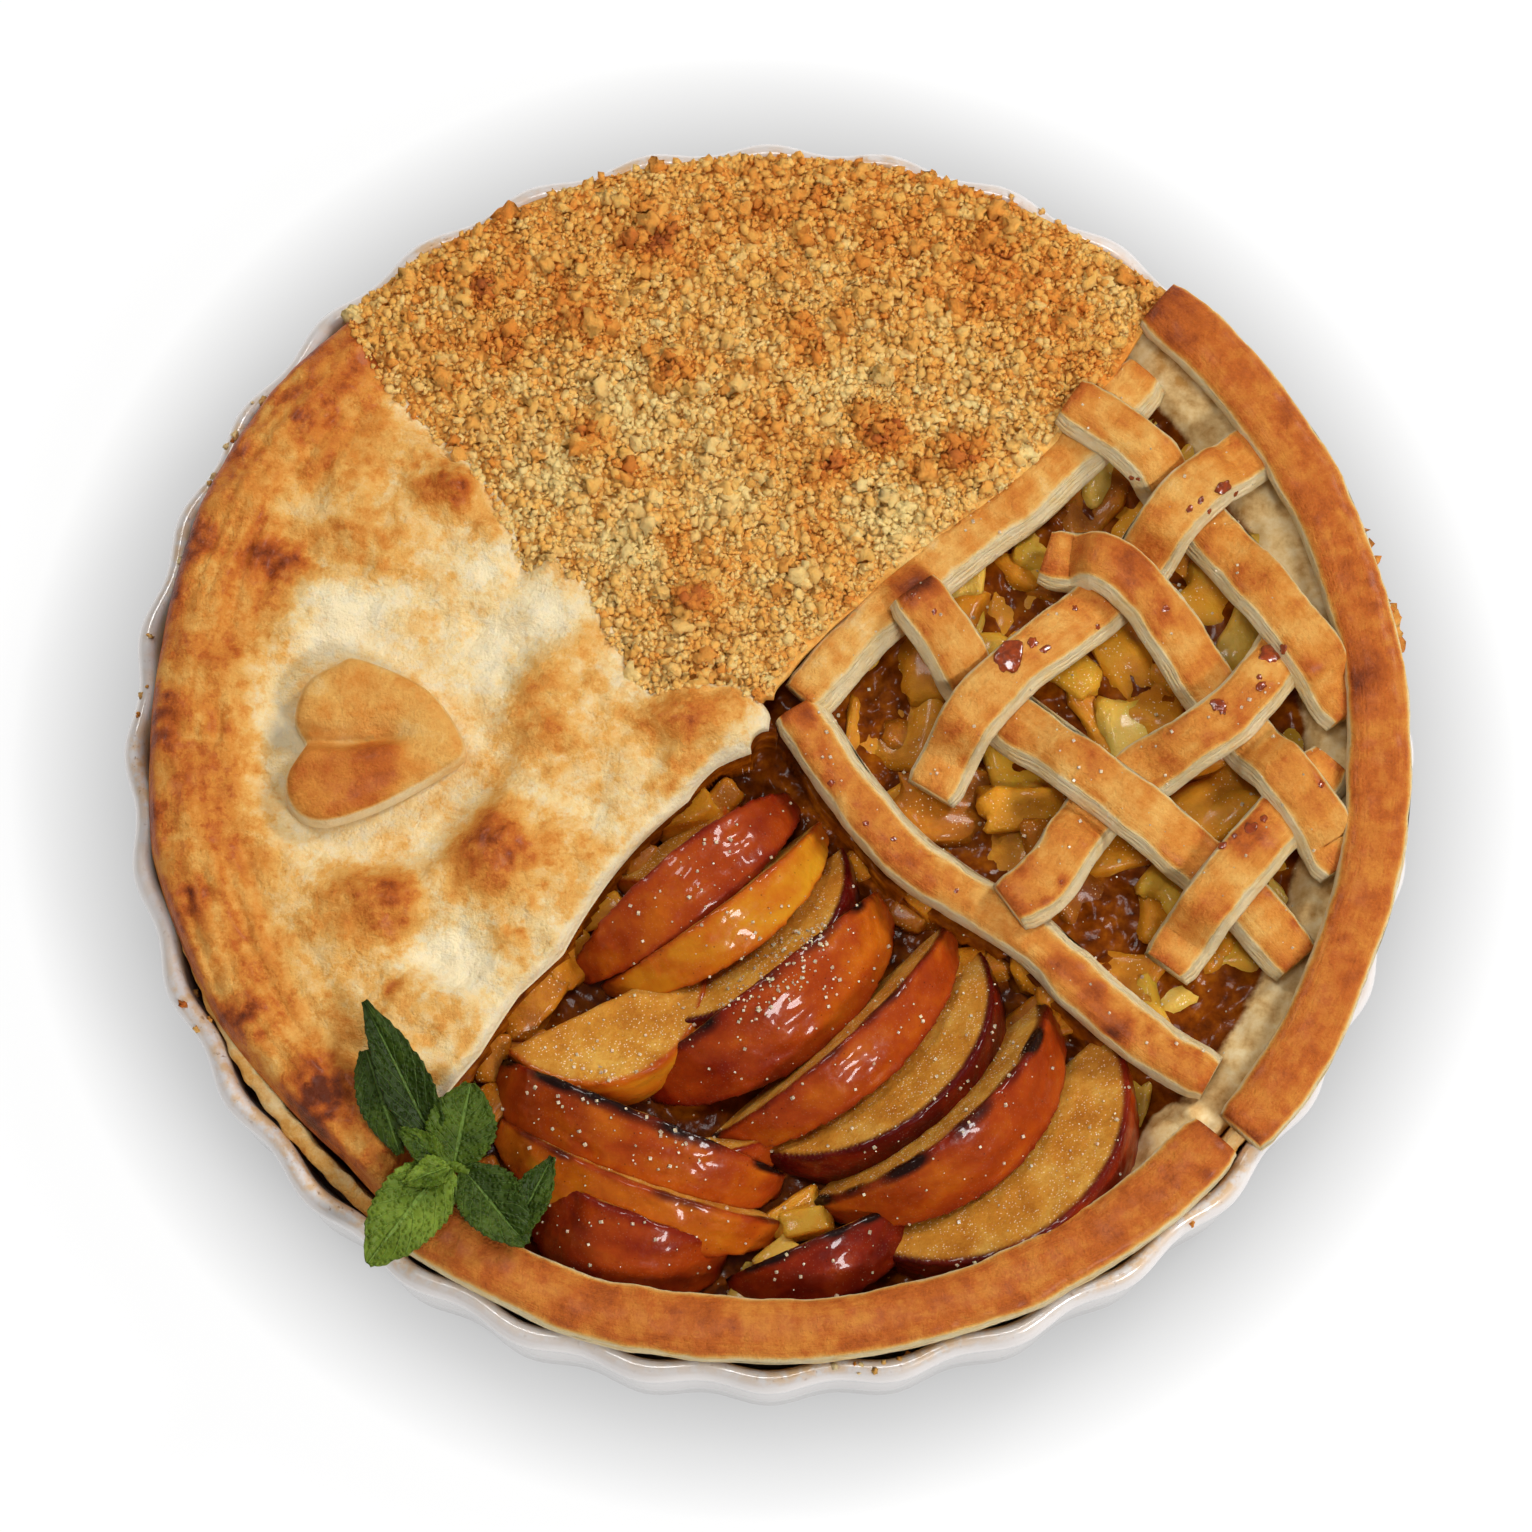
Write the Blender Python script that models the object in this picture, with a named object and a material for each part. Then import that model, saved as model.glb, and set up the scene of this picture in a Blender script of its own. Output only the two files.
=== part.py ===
# An apple pie baked in four styles, in its fluted porcelain dish: a plain lid with a pastry heart, crumble,
# a woven lattice, and open apple slices, with a sprig of mint on the rim.
# +Z is up, -Y is the front, and the origin is the middle of the dish's foot.
# The tables and the modelling are in millimetres, and each finished mesh is scaled to metres.
import math
import random

import bmesh
import bpy
from mathutils import Matrix, Vector, noise

MM = 0.001

# The gap that touching pieces keep
GAP = 0.3

# Dish: half section from the middle of the foot, out, up, over the lip and in to the middle of the floor,
# as radius, height and the share of the flute depth there
FLUTES = 32
FLUTE_DEPTH = 2.2
STEPS_PER_FLUTE = 5
ROUND_STEPS = FLUTES * STEPS_PER_FLUTE
RIM_RADIUS = 141.0
DISH_HEIGHT = 42.0
FOOT_RADIUS = 135.2
FLOOR_THICK = 5.0
DISH_SECTION = [
    (0.0, 0.0, 0.0),
    (FOOT_RADIUS, 0.0, 0.6),
    (FOOT_RADIUS + 3.0, 3.0, 1.0),
    (RIM_RADIUS - 2.0, DISH_HEIGHT - 8.5, 1.0),
    (RIM_RADIUS, DISH_HEIGHT - 5.5, 1.0),
    (RIM_RADIUS, DISH_HEIGHT - 2.0, 1.0),
    (RIM_RADIUS - 2.0, DISH_HEIGHT, 0.9),
    (RIM_RADIUS - 4.4, DISH_HEIGHT - 1.5, 0.8),
    (FOOT_RADIUS - 4.0, FLOOR_THICK + 3.5, 0.5),
    (FOOT_RADIUS - 8.2, FLOOR_THICK, 0.2),
    (0.0, FLOOR_THICK, 0.0),
]

# Pastry case: it lines the dish, and has shrunk away from the wall along the front
CASE_TOP = 42.0
CASE_FLOOR = 9.4
CASE_STEPS = 96
SHRINK = 4.2
SHRINK_MIDDLE = math.radians(-79)
SHRINK_HALF_ANGLE = math.radians(40)
SHRINK_FADE = math.radians(12)
CASE_SECTION = [
    (0.0, FLOOR_THICK + GAP, 0.0),
    (FOOT_RADIUS - 9.3, FLOOR_THICK + GAP, 0.0),
    (FOOT_RADIUS - 5.7, FLOOR_THICK + 4.0, 0.0),
    (RIM_RADIUS - 6.6, CASE_TOP, 0.0),
    (RIM_RADIUS - 10.4, CASE_TOP, 0.0),
    (FOOT_RADIUS - 9.5, CASE_FLOOR, 0.0),
    (0.0, CASE_FLOOR, 0.0),
]

# Edges between the four quarters, as radius and polar angle in degrees
LID_CRUMBLE_EDGE = [(4, 92), (7, 90), (14, 111), (20, 137), (28, 154), (36, 147), (44, 141), (54, 136),
                    (63, 137.5), (67, 142), (78, 137), (90, 135.3), (101, 135.3), (120, 135.2), (138, 132.5)]
LID_OPEN_EDGE = [(4, 196), (12, 201), (21, 214), (35, 217.5), (50, 222), (64, 226), (77, 225.6), (92, 227.6),
                 (105, 228), (118, 229.5), (138, 231)]
CRUMBLE_LATTICE_EDGE = [(3.9, 60), (8, 98), (13, 95), (17, 84.6), (26, 72), (37, 63.2), (58, 54.9),
                        (80, 50.1), (100, 49.1), (113, 49.4), (126, 50.3), (138, 50.6)]
LATTICE_OPEN_EDGE = [(3.9, 25), (5, -6), (6.7, -24), (10.7, -38.8), (15, -45.3), (37, -48.6), (52, -45.2),
                     (69, -41.6), (90, -42.4), (108, -42.1), (138, -39.5)]

# Fruit filling: full under lid and crumble, lower where it shows
FILL_TOP = CASE_TOP
FILL_STEPS = 80
LATTICE_FLOOR = 35.4
STRIP_SHELF = 37.2
OPEN_FLOOR = 27.0
APEX_RADIUS = 3.4
ROOM_HEIGHT = 62.0
ROOM_RADII = [2.5, 4, 5, 6.7, 10.7, 15, 20, 35, 52, 69, 86, 104, 121, 138]
CHUNK_ROWS = 4
CHUNK_SPACING = 17.0

# Rings of the slabs' grids
SLAB_RADII = [4, 7, 11, 15, 20, 25, 30, 36, 43, 50, 58, 66, 74, 82, 90, 98, 106, 113, 120, 126, 132, 136.5]

# Lid: thickness at its edge, and its domes and hollows as x, y, radius and height
LID_EDGE = 4.6
LID_FULL = 6.0
LID_ROLL_RADIUS = 127.0
LID_ROLL_WIDTH = 9.0
LID_ROLL_HEIGHT = 2.6
LID_RIM = [(132, 134.5), (144, 136.8), (157, 136.8), (170, 135), (181, 135), (190, 136), (198, 134.5),
           (207, 133.5), (215, 131), (225, 129), (232, 130.5)]
LID_DOMES = [(-68, 57.5, 8, 3.0), (-84, 46.5, 9, 1.6), (-59, -24, 15, 3.8), (-86, -35, 12, 3.0),
             (-48, 1, 10, 2.0), (-16, 5, 9, 2.4), (-48, 19.5, 9, 1.6), (-72, -60, 9, 1.5), (-101, 27.5, 10, 1.2),
             (-64, 27.5, 8, -1.8), (-70, -8, 7, -1.4), (-76, -46, 6, -1.2)]

# Heart: pastry cut-out on a level seat in the lid, its tip to the right
HEART_MIDDLE = (-86.0, -1.0)
HEART_OUTLINE = [(-3, 19), (11, 12.7), (17.6, 5), (20.3, -2.3), (14.4, -7.2), (2.4, -14), (-10, -18),
                 (-17, -15.4), (-18.7, -8.2), (-14.7, -0.7), (-17, 5.2), (-14.7, 13.4), (-8.4, 17.6)]
HEART_THICK = 8.6
HEART_CREASE = 1.4
HEART_STEPS = 32
HEART_RINGS = [(0.93, 0.0), (1.0, 0.3), (0.98, 0.8), (0.88, 0.97), (0.45, 1.0)]
HEART_SEAT_RADIUS = 26.0
HEART_SEAT = 46.0

# Crumble: a loose layer with clumps
CRUMBLE_THICK = 5.6
CRUMBLE_START = 11
CRUMBLE_CLUMPS = [(-45, 92, 9, 2.2), (12, 63.5, 12, 2.4), (42, 65.5, 8, 2.6), (22, 101, 14, 1.6),
                  (-20, 59.5, 10, 2.0), (-38, 71.5, 9, 1.6), (-22, 27.5, 9, 2.2), (-5, 37.5, 9, 2.2),
                  (60, 89, 12, 1.6), (-12, 109, 12, 1.4)]

# Pastry strips: full width, thickness, and the two levels of the weave
STRIP_WIDTH = 14.0
STRIP_THICK = 5.4
BORDER_WIDTH = 14.6
BORDER_THICK = 8.0
BORDER_LEVEL = STRIP_SHELF + GAP + BORDER_THICK / 2
UNDER = BORDER_LEVEL + 0.4
OVER = UNDER + STRIP_THICK + GAP + 0.4
ON_BORDER = BORDER_LEVEL + BORDER_THICK / 2 + GAP + STRIP_THICK / 2
WEAVE_FLAT = 7.2
STRIP_STEPS = 13
STRIP_SECTION = [(-0.46, -0.5), (0.46, -0.5), (0.5, -0.1), (0.33, 0.5), (-0.33, 0.5), (-0.5, -0.1)]

# Each woven strip as x, y and level at its ends and crossings
WOVEN = {
    "lattice_down_1": [(66, 77.5, ON_BORDER), (79, 68.5, ON_BORDER), (92, 55, UNDER), (114.5, 25.5, OVER),
                       (122, 13.5, OVER - 1)],
    "lattice_down_2": [(60.5, 43.5, UNDER), (78, 37.5, OVER), (101, 6.5, UNDER), (115, -12, OVER),
                       (121, -21, OVER - 1)],
    "lattice_down_3": [(31, 34, ON_BORDER), (37, 25.5, ON_BORDER), (48, 10.5, UNDER), (74, -11, OVER),
                       (99.5, -31, UNDER), (110, -44, UNDER)],
    "lattice_up_1": [(35.5, -10, UNDER), (48, 10.5, OVER), (78, 37.5, UNDER), (92, 55, OVER),
                     (102, 63, OVER - 1)],
    "lattice_up_2": [(52, -37, ON_BORDER), (61, -30, ON_BORDER), (74, -11, UNDER), (101, 6.5, OVER),
                     (114, 24.5, UNDER)],
    "lattice_up_3": [(86, -49, UNDER), (99.5, -31, OVER), (117, -10, UNDER)],
}

# What each strip gives way to where it lies on it or against it
GIVES_WAY = {
    "lattice_down_1": ("border_by_crumble", "lattice_up_2", "right_rim_band"),
    "lattice_down_2": ("border_by_crumble", "lattice_up_1", "lattice_up_3", "right_rim_band"),
    "lattice_down_3": ("border_by_crumble", "lattice_up_2", "right_rim_band"),
    "lattice_up_1": ("border_by_slices", "lattice_down_1", "lattice_down_3", "right_rim_band"),
    "lattice_up_2": ("border_by_slices", "lattice_down_2", "right_rim_band"),
    "lattice_up_3": ("border_by_slices", "lattice_down_3", "right_rim_band"),
}

# Border strips and rim bands as routes on the plan, with their width, thickness and level
CRUMBLE_BORDER = [(14, 18), (22, 27), (39, 42.5), (57, 56.5), (71, 70.5), (84, 85.5)]
OPEN_BORDER = [(6.5, 9.5), (17, -7), (29, -22), (41, -31), (56, -40.5), (71, -55), (85, -66.5), (95.5, -72.5)]
RIGHT_BAND_RADIUS = 132.9
RIGHT_BAND_WIDTH = 13.6
RIGHT_BAND_ANGLES = (49.5, -40.3)
FRONT_BAND_RADIUS = 127.4
FRONT_BAND_WIDTH = 11.6
FRONT_BAND_ANGLES = (-42.3, -128.0)
BAND_THICK = 7.6
BAND_LEVEL = DISH_HEIGHT + GAP + 0.1 + BAND_THICK / 2
BAND_STEPS = 24

# Apple slices, topmost first: tips on the plan, the side that the skin turns to, how far the skin tips up
# from level, the angle that the slice was cut at, its radius from the core's axis, and the slices over it
SLICES = [
    ("slice_left_1", (-58, -71.5), (3, -95.5), 1, 62, 31, 29, ()),
    ("slice_left_2", (-57, -81.5), (1, -104.5), 1, 56, 24, 29, ("slice_left_1",)),
    ("slice_left_3", (-52, -94.5), (-9, -111.5), 1, 56, 34, 26, ("slice_left_2",)),
    ("slice_1", (-42, -48), (6, -8), 1, 80, 26, 30, ()),
    ("slice_2", (-36, -51), (12, -14), 1, 62, 22, 30, ("slice_1",)),
    ("slice_3", (-33, -57), (15, -21), 1, 33, 24, 31, ("slice_1", "slice_2")),
    ("slice_4", (-30, -71), (22, -31), 1, 62, 36, 30, ("slice_3", "slice_left_1")),
    ("slice_5", (-17, -81.5), (34, -40), 1, 56, 26, 31, ("slice_4", "slice_left_1")),
    ("slice_6", (-6, -85.5), (42, -48), 1, 26, 25, 33, ("slice_5", "slice_left_1")),
    ("slice_9", (-9, -117.5), (28, -100.5), 1, 62, 30, 22, ()),
    ("slice_7", (6, -95.5), (56, -60), 1, 42, 26, 32, ("slice_6", "slice_9")),
    ("slice_8", (19, -107.5), (66, -70), 1, 18, 25, 34, ("slice_7", "slice_9")),
]
CORE_RADIUS = 9.0
SLICE_LEVEL = OPEN_FLOOR + GAP

# Chunks that show in the open quarter, as x, y, size, foot, top and turn in degrees
OPEN_CHUNKS = [(-19, -12, 13, 25, 38, 20), (-53, -56, 11, 25, 36, 60), (-41, -59.5, 9, 25, 37, 35)]

# Mint leaves: foot, tip, width and fold in degrees
LEAVES = [
    ((-68.6, -94, 53.2), (-84.5, -61, 57.0), 10.5, 32),
    ((-81.4, -67, 56.4), (-80.0, -88.5, 53.6), 9.0, -20),
    ((-65.4, -95, 53.4), (-63.6, -77.5, 55.0), 13.5, 12),
    ((-68.4, -94, 53.2), (-84.5, -114.5, 52.4), 13.0, 10),
    ((-65.0, -95.5, 53.4), (-52.5, -111, 53.4), 12.0, 20),
    ((-54.5, -108.5, 53.6), (-47.5, -94, 55.6), 6.5, 24),
    ((-69.6, -94, 53.4), (-77.5, -87.5, 55.4), 6.0, 20),
    ((-67.4, -94.5, 53.4), (-72.5, -101.5, 56.0), 6.0, 20),
]
LEAF_THICK = 0.7
LEAF_LENGTH_STEPS = 6
LEAF_WIDTH_STEPS = 4
STEM_ROUTE = [(-74.5, -91.5, 52.2), (-70.5, -93, 53.0), (-67.0, -94.5, 53.3), (-63.5, -96, 53.3)]
STEM_RADIUS = 1.3

# Finishes as base colour and roughness
FINISHES = {
    "porcelain": ((0.86, 0.83, 0.81), 0.18),
    "case_pastry": ((0.80, 0.62, 0.34), 0.70),
    "baked_pastry": ((0.78, 0.47, 0.18), 0.62),
    "crumble": ((0.80, 0.54, 0.20), 0.85),
    "fruit_filling": ((0.36, 0.17, 0.04), 0.35),
    "apple_skin": ((0.50, 0.10, 0.03), 0.25),
    "mint_leaf": ((0.10, 0.26, 0.04), 0.45),
}


def clear_scene():
    for obj in list(bpy.data.objects):
        bpy.data.objects.remove(obj, do_unlink=True)


def new_collection(name):
    made = bpy.data.collections.new(name)
    bpy.context.scene.collection.children.link(made)
    return made


def finish_of(name):
    material = bpy.data.materials.get(name)
    if material is None:
        colour, roughness = FINISHES[name]
        material = bpy.data.materials.new(name)
        material.use_nodes = True
        shader = material.node_tree.nodes["Principled BSDF"]
        shader.inputs["Base Color"].default_value = (*colour, 1.0)
        shader.inputs["Roughness"].default_value = roughness
        shader.inputs["Metallic"].default_value = 0.0
    return material


def add_object(name, bm, finish, collection):
    # Turns a mesh made in millimetres into an object in metres, smooth but for its sharp edges
    bmesh.ops.recalc_face_normals(bm, faces=bm.faces)
    bmesh.ops.transform(bm, matrix=Matrix.Scale(MM, 4), verts=bm.verts)
    mesh = bpy.data.meshes.new(name)
    bm.to_mesh(mesh)
    bm.free()
    mesh.shade_smooth()
    mesh.set_sharp_from_angle(angle=math.radians(40))
    mesh.materials.append(finish_of(finish))
    obj = bpy.data.objects.new(name, mesh)
    collection.objects.link(obj)
    return obj


def hide_helper(obj):
    obj.hide_render = True
    obj.display_type = "WIRE"


def smoothstep(t):
    t = min(1.0, max(0.0, t))
    return t * t * (3 - 2 * t)


def along(points, at):
    # Reads the second value of sorted pairs at the first one
    if at <= points[0][0]:
        return points[0][1]
    for (a, first), (b, second) in zip(points, points[1:]):
        if at <= b:
            return first + (second - first) * (at - a) / (b - a)
    return points[-1][1]


def dome(x, y, domes):
    # Adds up smooth round domes, each as x, y, radius and height
    return sum(h * math.exp(-((x - cx) ** 2 + (y - cy) ** 2) / (r * r)) for cx, cy, r, h in domes)


def shrink_at(angle):
    # How far the pastry has pulled away from the wall at this polar angle
    away = abs((angle - SHRINK_MIDDLE + math.pi) % (2 * math.pi) - math.pi)
    return SHRINK * smoothstep((SHRINK_HALF_ANGLE + SHRINK_FADE - away) / (2 * SHRINK_FADE))


def turned(section, steps, pulled_in=0.0):
    # Spins a half section about Z, then lets the flutes push its rings in, and the shrinkage too
    bm = bmesh.new()
    verts = [bm.verts.new((radius, 0, height)) for radius, height, share in section]
    edges = [bm.edges.new(pair) for pair in zip(verts, verts[1:])]
    bmesh.ops.spin(bm, geom=verts + edges, axis=(0, 0, 1), steps=steps, angle=2 * math.pi, use_merge=True)
    bmesh.ops.remove_doubles(bm, verts=bm.verts, dist=0.01)
    shares = {(round(r, 2), round(z, 2)): share for r, z, share in section}
    for vert in bm.verts:
        radius = vert.co.xy.length
        if radius < 1:
            continue
        angle = math.atan2(vert.co.y, vert.co.x)
        share = shares[round(radius, 2), round(vert.co.z, 2)]
        wave = 0.5 * (1 - math.cos(FLUTES * angle)) * FLUTE_DEPTH * share
        pull = pulled_in * shrink_at(angle) * smoothstep((vert.co.z - FLOOR_THICK) / 12)
        vert.co.xy *= (radius - wave - pull) / radius
    return bm


def sector(radii, low_edge, high_edge, spokes, low_side, high_side):
    # A slab of one quarter: a grid laid out in polar form between two edges, then extruded. low_side and
    # high_side give the height of its underside and top at x, y and the distance from its edge.
    bm = bmesh.new()
    bmesh.ops.create_grid(bm, x_segments=spokes, y_segments=len(radii) - 1, size=1.0)
    places = {}
    for vert in bm.verts:
        row = round((vert.co.y + 1) / 2 * (len(radii) - 1))
        across = (vert.co.x + 1) / 2
        low, high = (along(edge, radii[row]) for edge in (low_edge, high_edge))
        angle = math.radians(low + (high - low) * across)
        radius = radii[row]
        if row == len(radii) - 1 and high_side is lid_top:
            radius = along(LID_RIM, math.degrees(angle))
        span = math.radians(high - low) * radius
        edge_distance = min(across * span, (1 - across) * span, radii[-1] - radii[row])
        places[vert] = edge_distance
        vert.co = (radius * math.cos(angle), radius * math.sin(angle), 0)
    bmesh.ops.extrude_face_region(bm, geom=bm.faces[:])
    old = set(places)
    flat = {(round(v.co.x, 4), round(v.co.y, 4)): d for v, d in places.items()}
    for vert in bm.verts:
        distance = flat[round(vert.co.x, 4), round(vert.co.y, 4)]
        side = low_side if vert in old else high_side
        vert.co.z = side(vert.co.x, vert.co.y, distance)
    return bm


def join_flat_faces(bm, height):
    # The level underside needs no inner vertices
    level = [f for f in bm.faces if all(abs(v.co.z - height) < 1e-4 for v in f.verts)]
    bmesh.ops.dissolve_faces(bm, faces=level, use_verts=True)


def lid_top(x, y, edge_distance):
    roll = math.exp(-(((math.hypot(x, y) - LID_ROLL_RADIUS) / LID_ROLL_WIDTH) ** 2)) * LID_ROLL_HEIGHT
    rough = 0.5 * noise.noise(Vector((x, y, 0)) / 9)
    full = CASE_TOP + GAP + LID_FULL + roll + dome(x, y, LID_DOMES) + rough
    away = math.hypot(x - HEART_MIDDLE[0], y - HEART_MIDDLE[1])
    full = HEART_SEAT + (full - HEART_SEAT) * smoothstep((away - HEART_SEAT_RADIUS) / 8)
    edge = CASE_TOP + GAP + LID_EDGE
    return edge + (full - edge) * smoothstep(edge_distance / 7)


def crumble_top(x, y, edge_distance):
    place = Vector((x, y, 0))
    crags = 1.3 * noise.noise(place / 5) + 0.8 * noise.noise(place / 2.3)
    full = CASE_TOP + GAP + CRUMBLE_THICK + crags + dome(x, y, CRUMBLE_CLUMPS)
    edge = CASE_TOP + GAP + 2.4 + 0.4 * crags
    return edge + (full - edge) * smoothstep(edge_distance / 9)


def flush(height):
    return lambda x, y, edge_distance: height


def make_lid(collection):
    bm = sector(SLAB_RADII, LID_CRUMBLE_EDGE, LID_OPEN_EDGE, 23, flush(CASE_TOP + GAP), lid_top)
    join_flat_faces(bm, CASE_TOP + GAP)
    return add_object("pie_lid", bm, "baked_pastry", collection)


def make_crumble(collection):
    low = [(r, a + math.degrees(GAP / r)) for r, a in CRUMBLE_LATTICE_EDGE]
    high = [(r, a - math.degrees(4 * GAP / r)) for r, a in LID_CRUMBLE_EDGE]
    rings = [r for r in SLAB_RADII if r >= CRUMBLE_START]
    bm = sector(rings, low, high, 25, flush(CASE_TOP + GAP), crumble_top)
    join_flat_faces(bm, CASE_TOP + GAP)
    return add_object("crumble_topping", bm, "crumble", collection)


def make_heart(collection):
    # The outline is drawn up in rings from the underside, out, and in over a domed top with a crease
    outline = closed_route(HEART_OUTLINE, HEART_STEPS)
    bm = bmesh.new()
    first = bmesh.ops.create_circle(bm, segments=HEART_STEPS, radius=1.0)["verts"]
    rings = [sorted(first, key=lambda v: math.atan2(v.co.y, v.co.x))]
    for _ in HEART_RINGS[1:]:
        edges = [e for e in bm.edges if not e.is_manifold and set(e.verts) <= set(rings[-1])]
        made = bmesh.ops.extrude_edge_only(bm, edges=edges)["geom"]
        fresh = [g for g in made if isinstance(g, bmesh.types.BMVert)]
        rings.append(sorted(fresh, key=lambda v: math.atan2(v.co.y, v.co.x)))
    for ring, (share, lift) in zip(rings, HEART_RINGS):
        for vert, place in zip(ring, outline):
            x, y = place.x * share, place.y * share
            crease = HEART_CREASE * math.exp(-(((y + 0.1 * x) / 3.0) ** 2)) * smoothstep((9 - x) / 12)
            vert.co = (x, y, lift * (HEART_THICK - crease))
    bm.faces.new(rings[0])
    top = bm.faces.new(rings[-1])
    bmesh.ops.recalc_face_normals(bm, faces=bm.faces[:])
    bmesh.ops.poke(bm, faces=[top])
    bmesh.ops.translate(bm, verts=bm.verts, vec=(*HEART_MIDDLE, HEART_SEAT + GAP))
    return add_object("pastry_heart", bm, "baked_pastry", collection)


def smooth_route(points, count):
    # Evenly spaced points of a smooth curve through the given ones, by Catmull-Rom
    points = [Vector(p) for p in points]
    padded = [2 * points[0] - points[1], *points, 2 * points[-1] - points[-2]]
    dense = []
    for a, b, c, d in zip(padded, padded[1:], padded[2:], padded[3:]):
        for i in range(20):
            t = i / 20
            dense.append(0.5 * (2 * b + (c - a) * t + (2 * a - 5 * b + 4 * c - d) * t * t
                                + (3 * b - a - 3 * c + d) * t ** 3))
    dense.append(points[-1])
    lengths = [0.0]
    for a, b in zip(dense, dense[1:]):
        lengths.append(lengths[-1] + (b - a).length)
    route = []
    for i in range(count):
        at = lengths[-1] * i / (count - 1)
        k = max(1, next((n for n, s in enumerate(lengths) if s >= at), len(lengths) - 1))
        share = (at - lengths[k - 1]) / max(1e-9, lengths[k] - lengths[k - 1])
        route.append(dense[k - 1].lerp(dense[k], min(1.0, share)))
    return route


def closed_route(points, count):
    # The same for a closed outline, which starts at its first point
    turns = 3
    around = [(*p, 0) for p in points] * turns
    return smooth_route([*around, around[0]], turns * count + 1)[count:2 * count]


def weave_level(place, stops):
    # A strip is level for a stretch at each crossing, and eases from one to the next
    reach = [(Vector(stops[0][:2]) - Vector(s[:2])).length for s in stops]
    at = (Vector(stops[0][:2]) - place).length
    for (near, a), (far, b) in zip(zip(reach, stops), zip(reach[1:], stops[1:])):
        if at <= far or b is stops[-1]:
            flat = min(WEAVE_FLAT, 0.35 * (far - near))
            return a[2] + (b[2] - a[2]) * smoothstep((at - near - flat) / max(1.0, far - near - 2 * flat))
    return stops[-1][2]


def swept_strip(name, route, width, thick, finish, collection):
    # A poly curve with a flat section swept along it, kept upright, tapered a little at both ends
    section = bpy.data.curves.new(name + "_section", "CURVE")
    section.dimensions = "2D"
    outline = section.splines.new("POLY")
    outline.points.add(len(STRIP_SECTION) - 1)
    for point, (x, y) in zip(outline.points, STRIP_SECTION):
        point.co = (x * width, y * thick, 0, 1)
    outline.use_cyclic_u = True
    guide = bpy.data.objects.new(name + "_section", section)
    path = bpy.data.curves.new(name + "_path", "CURVE")
    path.dimensions = "3D"
    path.twist_mode = "Z_UP"
    path.bevel_mode = "OBJECT"
    path.bevel_object = guide
    path.use_fill_caps = True
    spline = path.splines.new("POLY")
    spline.points.add(len(route) - 1)
    for i, (point, place) in enumerate(zip(spline.points, route)):
        point.co = (*place, 1)
        point.radius = 0.88 if i in (0, len(route) - 1) else 1.0
    swept = bpy.data.objects.new(name + "_path", path)
    for obj in (guide, swept):
        bpy.context.scene.collection.objects.link(obj)
    bpy.context.view_layer.update()
    mesh = bpy.data.meshes.new_from_object(swept.evaluated_get(bpy.context.evaluated_depsgraph_get()))
    bm = bmesh.new()
    bm.from_mesh(mesh)
    bpy.data.meshes.remove(mesh)
    for obj in (guide, swept):
        bpy.data.objects.remove(obj, do_unlink=True)
    bmesh.ops.remove_doubles(bm, verts=bm.verts, dist=0.01)
    return add_object(name, bm, finish, collection)


def room_for(piece, cutters):
    # A hidden copy of a piece, swollen by the gap, that cuts room for it in its neighbours
    bpy.context.view_layer.update()
    mesh = bpy.data.meshes.new_from_object(piece.evaluated_get(bpy.context.evaluated_depsgraph_get()))
    bm = bmesh.new()
    bm.from_mesh(mesh)
    bm.normal_update()
    shells = [(vert, vert.normal * vert.calc_shell_factor()) for vert in bm.verts]
    for vert, outward in shells:
        vert.co += outward * GAP * MM
    bm.to_mesh(mesh)
    bm.free()
    room = bpy.data.objects.new("room_for_" + piece.name, mesh)
    cutters.objects.link(room)
    hide_helper(room)
    return room


def cut_back(piece, room):
    cut = piece.modifiers.new(room.name, "BOOLEAN")
    cut.operation = "DIFFERENCE"
    cut.object = room


def make_band(name, radius, width, angles, collection):
    # A rim band runs along an arc, and wanders in and out a little
    start, end = (math.radians(a) for a in angles)
    route = []
    for i in range(BAND_STEPS):
        angle = start + (end - start) * i / (BAND_STEPS - 1)
        r = radius + 0.9 * noise.noise(Vector((angle * 4, radius, 0)))
        route.append((r * math.cos(angle), r * math.sin(angle), BAND_LEVEL))
    return swept_strip(name, route, width, BAND_THICK, "baked_pastry", collection)


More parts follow.
